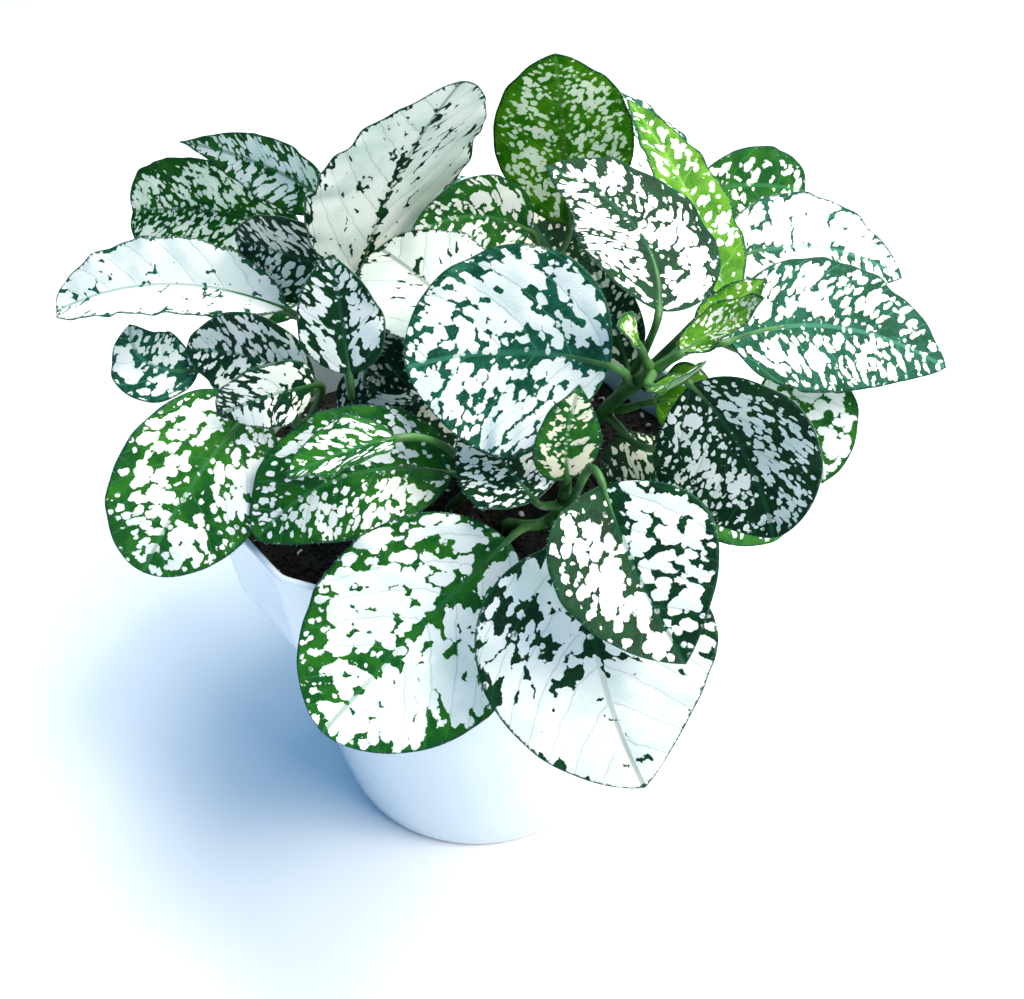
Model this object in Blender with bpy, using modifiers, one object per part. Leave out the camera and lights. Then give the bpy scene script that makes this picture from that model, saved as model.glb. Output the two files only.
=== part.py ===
"""Potted polka dot plant: white pot, soil, stems and spotted leaves, rebuilt as separate solids.

Every leaf is one piece, its blade and its stalk together.  Lengths in the tables are
millimetres and angles are degrees; build_* functions turn them into metres.
The origin is the middle of the pot's underside, +Z is up and -Y is the front.
"""
import math
from collections import namedtuple

import bmesh
import bpy
from mathutils import Vector

MM = 0.001

# ---- pot ---------------------------------------------------------------------------------
POT_HEIGHT = 100.0
RIM_RADIUS = 54.0            # to a corner of the faceted collar
COLLAR_FOOT_RADIUS = 52.4
COLLAR_HEIGHT = 24.5
COLLAR_SIDES = 12
COLLAR_TURN = -129.0         # direction of one corner, from +X
BODY_TOP_RADIUS = 44.0
BASE_RADIUS = 36.0
COLLAR_WALL = 1.6
BODY_WALL = 2.2
FLOOR_THICKNESS = 3.0
POT_SEGMENTS = 72

# ---- soil --------------------------------------------------------------------------------
SOIL_TOP = 90.0
SOIL_CROWN = 1.5             # how much higher the middle lies
GAP = 0.3                    # clear gap between neighbouring parts

# ---- leaves and stems --------------------------------------------------------------------
BLADE_THICKNESS = 0.6
STALK_WIDTH = 1.7
STALK_THICKNESS = 1.4
TIP_WIDTH = 0.9
STALK_CLEAR = 0.8            # from a stem's skin to the middle of a stalk's end face
STALK_ROWS = 3
BLADE_ROWS = 8
BLADE_COLUMNS = 4
BASE_FULLNESS = 0.55         # smaller is rounder at the stalk end
STEM_STEPS = 6

Stem = namedtuple("Stem", "path radius")
Leaf = namedtuple(
    "Leaf",
    "kind stem node base tip width roll arch sway fold_l fold_r widest blunt",
    defaults=(0.41, 0.80),
)

LEAF_COLORS = {
    "spotted": (0.30, 0.45, 0.30),
    "white": (0.78, 0.84, 0.76),
    "bright": (0.42, 0.66, 0.18),
}

STEMS = {
    "stem_front": Stem([(10, -20, 91.6), (18, -34, 104), (21, -41, 118)], 1.5),
    "stem_shoot": Stem([(20, -6, 91.6), (29, -13, 112), (37, -31, 135)], 1.6),
    "stem_right": Stem([(30, 12, 91.3), (46, 10, 112), (58, 6, 128)], 1.5),
    "stem_crown": Stem([(8, 14, 91.7), (14, 16, 110), (16, 15, 126)], 1.6),
    "stem_back_left": Stem([(-16, 14, 91.6), (-22, 16, 106), (-24, 15, 118)], 1.6),
    "stem_left": Stem([(-20, -8, 91.6), (-28, -10, 104), (-32, -9, 114)], 1.4),
    "stem_low": Stem([(-2, -14, 91.6), (3, -20, 102), (6, -25, 111)], 1.3),
    "stem_rear": Stem([(-4, 30, 91.3), (-12, 42, 104), (-15, 48, 116)], 1.5),
}

LEAVES = {
    # front stem
    "leaf_front_drop": Leaf("white", "stem_front", 0.65, (24, -58, 120), (31, -84, 87), 40, -15, -2, 3, 10, 4, 0.31, 0.8),
    "leaf_front_over_pot": Leaf("white", "stem_front", 0.5, (10, -48, 112), (-25, -68, 86), 40, 26, -2, 1, -6, 8, 0.46, 0.58),
    "leaf_front_upper": Leaf("spotted", "stem_front", 0.9, (26, -57, 131), (37, -80, 113), 29, -35, 0, 1, 0, 40, 0.33, 0.85),
    "leaf_front_inner": Leaf("spotted", "stem_front", 0.85, (15, -49, 122), (3, -26, 122.5), 18.5, 10, -2, 1, -8, 2, 0.45, 0.7),
    "leaf_front_bud": Leaf("bright", "stem_front", 1.0, (21, -45, 123), (23, -47, 144), 12, -145, 0, -1, 8, 6, 0.38, 0.9),
    "leaf_front_side": Leaf("spotted", "stem_front", 0.5, (33, -33, 102), (46, -13, 104), 23, -20, 1, 0, 10, 10, 0.45, 0.6),
    "leaf_front_fill": Leaf("spotted", "stem_front", 0.8, (29, -41, 110), (45, -49, 106), 18, -10, 2, 0, 10, 10, 0.45, 0.6),
    "leaf_front_under": Leaf("spotted", "stem_shoot", 0.15, (17, -13, 100), (0, -6, 98), 16, 0, 2, 0, 10, 10, 0.45, 0.6),
    # shoot stem
    "leaf_middle_round": Leaf("spotted", "stem_shoot", 0.9, (29, -36, 140), (-7, -24, 134), 38, 47, -2, 3, 4, 6, 0.42, 0.6),
    "leaf_middle_right": Leaf("spotted", "stem_shoot", 0.9, (43, -37, 136), (57, -51, 112), 33, -60, -2, -2, 30, 0, 0.42, 0.66),
    "leaf_under_right": Leaf("spotted", "stem_shoot", 0.6, (38, -30, 117), (65, -32, 96), 27, -50, 2, -4, 20, 10, 0.46, 0.55),
    "leaf_middle_top": Leaf("spotted", "stem_shoot", 0.85, (39, -23.5, 143), (21, 5, 158), 28, -5, 0, 8, 2, 6, 0.41, 0.75),
    "leaf_shoot_right": Leaf("bright", "stem_shoot", 1.0, (42, -33, 140), (55, -33, 150), 11, 0, -2, -3, 12, 12, 0.4, 0.85),
    "leaf_shoot_left": Leaf("bright", "stem_shoot", 1.0, (34, -34, 143), (30, -38, 149), 6, 55, 0, 1, 10, 10),
    "leaf_shoot_back": Leaf("bright", "stem_shoot", 0.97, (46, -25, 138), (58, -20, 146), 9, -20, 0, 0, 10, 10, 0.42, 0.8),
    "leaf_shoot_front": Leaf("bright", "stem_shoot", 1.0, (36, -40, 138), (43, -47, 147), 9, 0, -1, 0, 8, 8, 0.45, 0.7),
    "leaf_shoot_inner": Leaf("bright", "stem_shoot", 0.66, (39, -26, 125), (49, -30, 127), 14, -40, 1, 0, 10, 10, 0.45, 0.6),
    "leaf_middle_shade": Leaf("spotted", "stem_shoot", 0.7, (35, -18, 126), (29, 10, 138), 12, 25, -2, 0, 15, 15),
    # right stem
    "leaf_right_long": Leaf("spotted", "stem_right", 0.8, (54, -16, 131), (102, -4, 114), 27, -42, -1, -6, 12, -8, 0.42, 0.78),
    "leaf_right_pale": Leaf("white", "stem_right", 1.0, (56, 5, 136), (97, 16, 124), 22, -46, 0, -5, 8, -6, 0.42, 0.8),
    "leaf_right_back": Leaf("spotted", "stem_right", 0.85, (53, 22, 144), (79, 35, 136), 16, -65, 1, -1, 12, 12, 0.5, 0.5),
    "leaf_right_low": Leaf("white", "stem_right", 0.7, (68, 4, 110), (79, -8, 88), 22, -35, 3, -2, 12, 12),
    "leaf_top_folded": Leaf("bright", "stem_right", 0.9, (54, -10, 136), (39, 31, 160), 15, -10, 0, 3, 14, 22),
    "leaf_top_behind": Leaf("white", "stem_right", 0.9, (55, 40, 129), (37, 62, 152), 30, -18, 2, -2, 4, 4),
    # crown stem
    "leaf_top_big": Leaf("spotted", "stem_crown", 1.0, (27, 33, 132), (24, 25, 172), 29.5, 165, -5, 0, 2, 4, 0.4, 0.66),
    "leaf_top_curled": Leaf("spotted", "stem_crown", 0.85, (18, 27, 134), (-7, 12, 141), 19, 60, 0, 4, 18, 40),
    "leaf_crown_pale": Leaf("white", "stem_crown", 0.9, (9, -11, 128), (-13, 11, 140), 26.6, 18, 3, 0, 9, 9, 0.45, 0.56),
    "leaf_crown_small": Leaf("spotted", "stem_crown", 0.8, (0, -15, 120), (-14, 6, 126), 11, 20, 2, 0, 20, 20),
    "leaf_crown_shade": Leaf("spotted", "stem_crown", 0.8, (29, 28, 119), (17, 46, 131), 16, 8, 3, -2, 13, 13),
    # back left stem
    "leaf_left_upright": Leaf("white", "stem_back_left", 1.0, (-18, 12, 134), (6, 2, 176), 41, -155, -4, 2, -2, -3, 0.46, 0.74),
    "leaf_left_pointed": Leaf("white", "stem_rear", 1.0, (-25, 37, 138), (-63, 66, 142), 15, 70, -1, 2, 14, 16, 0.3, 1.15),
    "leaf_left_back": Leaf("spotted", "stem_rear", 0.85, (-36, 54, 124), (-85, 85, 116), 27, 60, 1, 2, 26, 28, 0.46, 0.45),
    "leaf_left_shade": Leaf("spotted", "stem_back_left", 0.95, (-22, 20, 130), (-47, 34, 132), 21, 85, 1, 1, 18, 18),
    "leaf_left_far": Leaf("white", "stem_back_left", 0.8, (-36, 20, 122), (-90, 31, 118), 22, 25, 4, 4, 22, 34, 0.56, 0.5),
    "leaf_left_under": Leaf("bright", "stem_back_left", 0.7, (-36, 27, 116), (-70, 48, 110), 9, 40, 0, 1, 14, 14),
    "leaf_left_standing": Leaf("spotted", "stem_back_left", 0.9, (-18, -19, 130), (-19, -14, 152), 18, 25, -1, 0, 10, 14),
    # left stem
    "leaf_left_round": Leaf("white", "stem_left", 0.9, (-56, 13, 112), (-73, 27, 116), 17, 30, 1, -5, 6, 6),
    "leaf_left_cream": Leaf("spotted", "stem_left", 1.0, (-28, -3, 118), (-58, 15, 116), 20, 60, 1, 2, 18, 20),
    "leaf_left_big": Leaf("spotted", "stem_left", 1.0, (-38, -14, 121), (-61, -36, 98), 29, 42, 5, 1, 4, 20, 0.42, 0.6),
    "leaf_left_small": Leaf("spotted", "stem_left", 0.85, (-25, -19, 128), (-43, -23, 125), 14, 90, 5, 4, 6, 8),
    "leaf_left_fill": Leaf("spotted", "stem_left", 0.55, (-24, -2, 109), (-7, 6, 112), 16, -20, 2, 0, 10, 10, 0.45, 0.6),
    # low stem
    "leaf_low_large": Leaf("spotted", "stem_low", 0.75, (0, -28, 112), (-38, -35, 104), 26.6, 35, 4, 5, 10, 30, 0.42, 0.7),
    "leaf_low_dark": Leaf("spotted", "stem_low", 1.0, (-9, -36, 127), (-28, -42, 124), 16, -3, 1, 0, 16, 16),
    "leaf_low_small": Leaf("spotted", "stem_low", 1.0, (-6, -4, 118), (-17, -11, 122), 9, 50, -2, 2, 8, 10),
    "leaf_low_back": Leaf("spotted", "stem_low", 0.55, (0, -12, 104), (-18, 8, 106), 20, 0, 2, 0, 10, 10, 0.45, 0.6),
    # rear stem
    "leaf_rear_1": Leaf("spotted", "stem_rear", 0.9, (0, 62, 114), (-18, 98, 100), 28, 0, 5, 0, 12, 12),
    "leaf_rear_2": Leaf("white", "stem_rear", 0.75, (12, 60, 110), (36, 92, 96), 28, 0, 5, 0, 12, 12),
    "leaf_rear_3": Leaf("spotted", "stem_rear", 0.6, (-10, 50, 104), (-48, 72, 90), 28, 0, 6, 0, 12, 12),
    "leaf_rear_4": Leaf("spotted", "stem_rear", 0.6, (18, 46, 106), (58, 64, 92), 28, 0, 6, 0, 12, 12),
    "leaf_rear_5": Leaf("white", "stem_rear", 1.0, (-6, 56, 120), (4, 80, 123), 18, 0, 3, 0, 12, 12),
}


# ---- scene helpers -----------------------------------------------------------------------
def clear_scene():
    """Remove every object of the opened file."""
    for obj in list(bpy.data.objects):
        bpy.data.objects.remove(obj, do_unlink=True)


def make_collection(name):
    """Return a new collection linked to the scene."""
    collection = bpy.data.collections.new(name)
    bpy.context.scene.collection.children.link(collection)
    return collection


def make_material(name, color, roughness, metallic=0.0):
    """Return a Principled material of one colour."""
    material = bpy.data.materials.new(name)
    material.use_nodes = True
    shader = material.node_tree.nodes["Principled BSDF"]
    shader.inputs["Base Color"].default_value = (*color, 1.0)
    shader.inputs["Roughness"].default_value = roughness
    shader.inputs["Metallic"].default_value = metallic
    return material


def object_from_bmesh(name, mesh_data, material, collection):
    """Write a bmesh into a new object with outward faces."""
    bmesh.ops.recalc_face_normals(mesh_data, faces=mesh_data.faces)
    mesh = bpy.data.meshes.new(name)
    mesh_data.to_mesh(mesh)
    mesh_data.free()
    mesh.materials.append(material)
    obj = bpy.data.objects.new(name, mesh)
    collection.objects.link(obj)
    return obj


# ---- pot and soil ------------------------------------------------------------------------
def collar_radius(angle, corner_radius):
    """Radius of a regular polygon with softened corners, at an angle in radians."""
    side = 2.0 * math.pi / COLLAR_SIDES
    offset = (angle - math.radians(COLLAR_TURN)) % side - side / 2.0
    flat = corner_radius * math.cos(side / 2.0) / math.cos(offset)
    return min(flat, corner_radius * 0.9975)


def ring(mesh_data, height, radius, faceted):
    """Add one closed loop of vertices round the pot's axis."""
    loop = []
    for step in range(POT_SEGMENTS):
        angle = math.radians(COLLAR_TURN) + 2.0 * math.pi * step / POT_SEGMENTS
        reach = collar_radius(angle, radius) if faceted else radius
        point = Vector((math.cos(angle) * reach, math.sin(angle) * reach, height)) * MM
        loop.append(mesh_data.verts.new(point))
    return loop


def lathe(name, profile, material, collection):
    """Skin a profile of (height, radius, faceted) rings and close both ends."""
    mesh_data = bmesh.new()
    loops = [ring(mesh_data, *row) for row in profile]
    for lower, upper in zip(loops, loops[1:]):
        for step in range(POT_SEGMENTS):
            following = (step + 1) % POT_SEGMENTS
            mesh_data.faces.new((lower[step], lower[following], upper[following], upper[step]))
    mesh_data.faces.new(loops[0])
    mesh_data.faces.new(loops[-1])
    return object_from_bmesh(name, mesh_data, material, collection)


def body_radius(height):
    """Outer radius of the round body, which narrows in a slow curve to its foot."""
    share = height / (POT_HEIGHT - COLLAR_HEIGHT)
    return BASE_RADIUS + (BODY_TOP_RADIUS - BASE_RADIUS) * share ** 0.6


def build_pot(collection):
    """White pot: round body, step, and a collar of twelve soft facets."""
    step_height = POT_HEIGHT - COLLAR_HEIGHT
    outside = [(0.0, BASE_RADIUS - 2.5, False), (0.5, BASE_RADIUS - 0.9, False)]
    outside += [(height, body_radius(height), False) for height in (2.5, 8, 18, 32, 50, 68)]
    outside += [
        (step_height - 1.2, BODY_TOP_RADIUS, False),
        (step_height, BODY_TOP_RADIUS + 1.4, False),
        (step_height, COLLAR_FOOT_RADIUS - 1.8, True),
        (step_height + 0.5, COLLAR_FOOT_RADIUS - 0.6, True),
        (step_height + 1.6, COLLAR_FOOT_RADIUS, True),
        (POT_HEIGHT - 0.7, RIM_RADIUS, True),
        (POT_HEIGHT, RIM_RADIUS - 0.5, True),
    ]
    inside = [
        (POT_HEIGHT, RIM_RADIUS - COLLAR_WALL + 0.3, True),
        (POT_HEIGHT - 0.6, RIM_RADIUS - COLLAR_WALL, True),
        (step_height + 2.2, COLLAR_FOOT_RADIUS - COLLAR_WALL, True),
        (step_height + 2.2, BODY_TOP_RADIUS - BODY_WALL, False),
    ]
    inside += [(height, body_radius(height) - BODY_WALL, False) for height in (50, 18, FLOOR_THICKNESS)]
    material = make_material("glazed_white", (0.88, 0.90, 0.92), 0.18)
    return lathe("pot", outside + inside, material, collection)


def soil_profile():
    """Rings of the soil: it fills the pot's hollow with a small gap all round."""
    step_height = POT_HEIGHT - COLLAR_HEIGHT
    slack = GAP + 0.1
    rows = [
        (height, body_radius(height) - BODY_WALL - slack, False)
        for height in (FLOOR_THICKNESS + slack, 18, 50)
    ]
    rows += [
        (step_height + 2.2 + slack, BODY_TOP_RADIUS - BODY_WALL - slack, False),
        (step_height + 2.2 + slack, COLLAR_FOOT_RADIUS - COLLAR_WALL - slack - 0.2, True),
        (SOIL_TOP - 0.8, COLLAR_FOOT_RADIUS - COLLAR_WALL - slack, True),
        (SOIL_TOP, COLLAR_FOOT_RADIUS - COLLAR_WALL - slack - 1.5, True),
        (SOIL_TOP + SOIL_CROWN * 0.7, RIM_RADIUS * 0.5, False),
        (SOIL_TOP + SOIL_CROWN, RIM_RADIUS * 0.12, False),
    ]
    return rows


def build_soil(collection):
    """Dark soil, a little below the rim and higher in the middle."""
    material = make_material("soil", (0.035, 0.028, 0.022), 0.95)
    return lathe("soil", soil_profile(), material, collection)


# ---- stems -------------------------------------------------------------------------------
def stem_point(path, share):
    """Point and direction on the smooth curve that starts, bends and ends at three points."""
    start, bend, end = [Vector(point) for point in path]
    handle = bend * 2.0 - (start + end) * 0.5
    point = start * (1 - share) ** 2 + handle * 2 * share * (1 - share) + end * share ** 2
    direction = (handle - start) * (1 - share) + (end - handle) * share
    return point, direction.normalized()


def stem_radius(stem, share):
    """A stem thins slowly towards its top."""
    return stem.radius * (1.0 - 0.3 * share)


def build_stem(name, stem, material, collection):
    """One round green stem: a bevelled curve that leaves the soil straight up."""
    foot = Vector(stem.path[0])
    rows = [(foot, 0.0), (foot + Vector((0, 0, 0.6)), 0.0)]
    for step in range(1, STEM_STEPS + 1):
        share = step / STEM_STEPS
        rows.append((stem_point(stem.path, share)[0] + Vector((0, 0, 0.6)) * (1 - share), share))
    curve = bpy.data.curves.new(name, "CURVE")
    curve.dimensions = "3D"
    curve.bevel_depth = MM
    curve.bevel_resolution = 1
    curve.use_fill_caps = True
    spline = curve.splines.new("POLY")
    spline.points.add(len(rows) - 1)
    for point, (place, share) in zip(spline.points, rows):
        point.co = (*(place * MM), 1.0)
        point.radius = stem_radius(stem, share)
    curve.materials.append(material)
    obj = bpy.data.objects.new(name, curve)
    collection.objects.link(obj)
    return obj


# ---- leaves ------------------------------------------------------------------------------
def blade_frame(leaf):
    """Directions along, across and out of a blade, before it bends."""
    along = (Vector(leaf.tip) - Vector(leaf.base)).normalized()
    level = along.cross(Vector((0, 0, 1))).normalized()
    upright = level.cross(along)
    turn = math.radians(leaf.roll)
    across = level * math.cos(turn) + upright * math.sin(turn)
    out = upright * math.cos(turn) - level * math.sin(turn)
    return along, across, out


def midrib(leaf, share):
    """Point and direction on the blade's middle line."""
    _, across, out = blade_frame(leaf)
    base = Vector(leaf.base)
    tip = Vector(leaf.tip)
    handle = (base + tip) * 0.5 + out * 2.0 * leaf.arch + across * 2.0 * leaf.sway
    point = base * (1 - share) ** 2 + handle * 2 * share * (1 - share) + tip * share ** 2
    direction = (handle - base) * (1 - share) + (tip - handle) * share
    return point, direction.normalized()


def outline(leaf, share):
    """Half width of an egg-shaped blade, 0 to 1, at a share of its length.

    A leaf's widest is the place of its widest line, and a smaller blunt is rounder at the tip.
    """
    share = min(max(share, 1e-6), 1 - 1e-6)
    rise = (share / leaf.widest) ** BASE_FULLNESS
    fall = ((1 - share) / (1 - leaf.widest)) ** leaf.blunt
    return rise * fall


def blade_point(leaf, share, side):
    """Point of the blade at a share of its length; side runs from -1 to 1."""
    point, direction = midrib(leaf, share)
    _, across, _ = blade_frame(leaf)
    across = (across - direction * across.dot(direction)).normalized()
    out = across.cross(direction)
    least = STALK_WIDTH / 2 if share < 0.5 else TIP_WIDTH / 2
    reach = abs(side) * max(outline(leaf, share) * leaf.width / 2, least)
    fold = math.radians(leaf.fold_r if side > 0 else leaf.fold_l)
    sideways = math.copysign(reach * math.cos(fold), side) if side else 0.0
    return point + across * sideways + out * reach * math.sin(fold)


def stalk_start(leaf):
    """Where a stalk leaves its stem, just clear of the stem's surface."""
    stem = STEMS[leaf.stem]
    point, direction = stem_point(stem.path, leaf.node)
    away = Vector(leaf.base) - point
    away -= direction * min(away.dot(direction), 0.0) if leaf.node == 1.0 else direction * away.dot(direction)
    away.normalize()
    return point + away * (stem_radius(stem, leaf.node) + STALK_CLEAR)


def stalk_point(leaf, share, side):
    """Point of the stalk, which curves from the stem into the blade's middle line."""
    start = stalk_start(leaf)
    base, direction = midrib(leaf, 0.0)
    length = (base - start).length
    first = start + (base - start) * 0.35
    second = base - direction * length * 0.35
    rest = 1 - share
    point = (
        start * rest ** 3
        + first * 3 * share * rest ** 2
        + second * 3 * share ** 2 * rest
        + base * share ** 3
    )
    heading = (
        (first - start) * rest ** 2 + (second - first) * 2 * share * rest + (base - second) * share ** 2
    ).normalized()
    _, across, _ = blade_frame(leaf)
    across = (across - heading * across.dot(heading)).normalized()
    return point + across * side * STALK_WIDTH / 2


def leaf_rows():
    """Rows of a leaf from its stem to its tip: part of the leaf and share of that part."""
    stalk = [("stalk", row / STALK_ROWS) for row in range(STALK_ROWS)]
    blade = [("blade", row / BLADE_ROWS) for row in range(BLADE_ROWS + 1)]
    return stalk + blade


def build_leaf(name, leaf, material, collection):
    """One leaf: a grid bent to the blade's form and given thickness by Solidify."""
    mesh_data = bmesh.new()
    weights = []
    grid = []
    for part, share in leaf_rows():
        place = stalk_point if part == "stalk" else blade_point
        line = []
        for column in range(BLADE_COLUMNS + 1):
            side = column / BLADE_COLUMNS * 2 - 1
            line.append(mesh_data.verts.new(place(leaf, share, side) * MM))
            weights.append(1.0 if part == "stalk" else BLADE_THICKNESS / STALK_THICKNESS)
        grid.append(line)
    for lower, upper in zip(grid, grid[1:]):
        for column in range(BLADE_COLUMNS):
            corner = (lower[column], lower[column + 1], upper[column + 1], upper[column])
            mesh_data.faces.new(corner)
    obj = object_from_bmesh(name, mesh_data, material, collection)
    group = obj.vertex_groups.new(name="thickness")
    for index, weight in enumerate(weights):
        group.add([index], weight, "REPLACE")
    solidify = obj.modifiers.new("thickness", "SOLIDIFY")
    solidify.thickness = STALK_THICKNESS * MM
    solidify.offset = 0.0
    solidify.vertex_group = "thickness"
    solidify.use_even_offset = False
    return obj


def main():
    """Build the whole plant."""
    clear_scene()
    collection = make_collection("potted_polka_dot_plant")
    build_pot(collection)
    build_soil(collection)
    stem_green = make_material("stem_green", (0.16, 0.30, 0.10), 0.5)
    for name, stem in STEMS.items():
        build_stem(name, stem, stem_green, collection)
    leaf_materials = {
        kind: make_material("leaf_" + kind, color, 0.5) for kind, color in LEAF_COLORS.items()
    }
    for name, leaf in LEAVES.items():
        build_leaf(name, leaf, leaf_materials[leaf.kind], collection)


main()
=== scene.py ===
"""Potted polka dot plant: the fine outer model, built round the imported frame.

Blades, stalks, stems, soil and pot are made again with their veins, splashes of white,
crumbs and glaze, each piece on the solid that it stands for.  Lengths in the tables are
millimetres and angles are degrees; meshes, lamps and the floor are in metres.
"""
import logging
import math
from dataclasses import dataclass, field
from enum import Enum
from typing import Sequence

import bmesh
import bpy
import numpy as np
from mathutils import Matrix, Vector, noise


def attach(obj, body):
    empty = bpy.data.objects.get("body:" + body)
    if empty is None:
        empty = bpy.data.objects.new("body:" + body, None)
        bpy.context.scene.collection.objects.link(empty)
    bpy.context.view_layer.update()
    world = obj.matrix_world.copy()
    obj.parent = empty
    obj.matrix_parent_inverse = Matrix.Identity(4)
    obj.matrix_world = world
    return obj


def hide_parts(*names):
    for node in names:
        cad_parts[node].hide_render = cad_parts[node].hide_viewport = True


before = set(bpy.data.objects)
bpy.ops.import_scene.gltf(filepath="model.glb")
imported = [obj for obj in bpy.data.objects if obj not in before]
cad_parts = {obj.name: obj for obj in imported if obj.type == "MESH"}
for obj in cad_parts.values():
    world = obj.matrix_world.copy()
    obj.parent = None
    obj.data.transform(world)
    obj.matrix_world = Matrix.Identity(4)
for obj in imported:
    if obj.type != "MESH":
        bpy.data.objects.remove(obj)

LOG = logging.getLogger("polka_dot_plant")
MM = 0.001
BODY = "root"
FULL_TURN = 2.0 * math.pi
Color = tuple[float, float, float]
Place = tuple[float, float, float]
Faces = list[list[int]]
Socket = bpy.types.NodeSocket


class Tone(Enum):
    """Family of greens that a leaf is coloured with; the darkest family is partly deeper green and partly
    painted shade, the lime one partly young-leaf green and partly painted light shining through backlit
    blades.
    """

    TEAL = "teal"
    GRASS = "grass"
    # Lime green, partly painted light shining through backlit blades.
    LIME = "lime"
    # Deeper green, darkened further as painted shade.
    DARK_SHADED = "dark"


@dataclass(frozen=True)
class Greens:
    """Two greens of the blade and the paler one of its veins."""

    main: Color
    other: Color
    vein: Color


GREENS: dict[Tone, Greens] = {
    Tone.TEAL: Greens((0.014, 0.120, 0.068), (0.007, 0.085, 0.036), (0.080, 0.290, 0.200)),
    Tone.GRASS: Greens((0.007, 0.105, 0.014), (0.026, 0.170, 0.010), (0.050, 0.240, 0.075)),
    # Lime greens: partly young-leaf green, partly painted light shining through backlit blades.
    Tone.LIME: Greens((0.055, 0.230, 0.006), (0.130, 0.340, 0.014), (0.240, 0.480, 0.090)),
    # Darkest greens: partly deeper leaf green, partly painted shade.
    Tone.DARK_SHADED: Greens((0.003, 0.036, 0.013), (0.004, 0.058, 0.014), (0.018, 0.120, 0.058)),
}


@dataclass(frozen=True)
class Stem:
    """A stem's start, bend and end, and its radius at the foot."""

    path: tuple[Place, ...]
    radius: float


@dataclass(frozen=True)
class Shape:
    """Where a leaf joins, where it points, and how its blade is bent.

    stem, node: the stem that it grows on, and the share of its length.
    base, tip: ends of the blade.
    width: greatest width of the flat blade.
    roll: turn about the line from base to tip.
    arch, sway: how far the middle line bends outwards and sideways.
    fold_l, fold_r: lift of each half.
    widest: share of the length where it is widest.
    blunt: lower is blunter at the tip.
    """

    stem: str
    node: float
    base: Place
    tip: Place
    width: float
    roll: float
    arch: float
    sway: float
    fold_l: float
    fold_r: float
    widest: float = 0.41
    blunt: float = 0.80


@dataclass(frozen=True)
class Look:
    """Splashes of one leaf.

    white: share of white, from 0 to 1.
    streak: how far the splashes stretch along the side veins.
    spot: size of one splash in millimetres.
    rib_green: green kept beside the midrib.
    edge_green: green kept along the margin.
    cream: how far its white is tinted cream; partly real cream white, partly painted light shining through
    backlit blades and painted shade on leaves in shade.
    tip_white: how much whiter the blade grows towards its tip.
    shade: how far its white is greyed as painted shade.
    sheer: share of light that it lets through.
    """

    tone: Tone = Tone.TEAL
    white: float = 0.6
    streak: float = 1.4
    spot: float = 1.7
    rib_green: float = 0.5
    edge_green: float = 0.7
    cream: float = 0.0
    tip_white: float = 0.0
    shade: float = 0.0
    sheer: float = 0.22


STEMS: dict[str, Stem] = {
    "stem_front": Stem(((10, -20, 91.6), (18, -34, 104), (21, -41, 118)), 1.5),
    "stem_shoot": Stem(((20, -6, 91.6), (29, -13, 112), (37, -31, 135)), 1.6),
    "stem_right": Stem(((30, 12, 91.3), (46, 10, 112), (58, 6, 128)), 1.5),
    "stem_crown": Stem(((8, 14, 91.7), (14, 16, 110), (16, 15, 126)), 1.6),
    "stem_back_left": Stem(((-16, 14, 91.6), (-22, 16, 106), (-24, 15, 118)), 1.6),
    "stem_left": Stem(((-20, -8, 91.6), (-28, -10, 104), (-32, -9, 114)), 1.4),
    "stem_low": Stem(((-2, -14, 91.6), (3, -20, 102), (6, -25, 111)), 1.3),
    "stem_rear": Stem(((-4, 30, 91.3), (-12, 42, 104), (-15, 48, 116)), 1.5),
}

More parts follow.
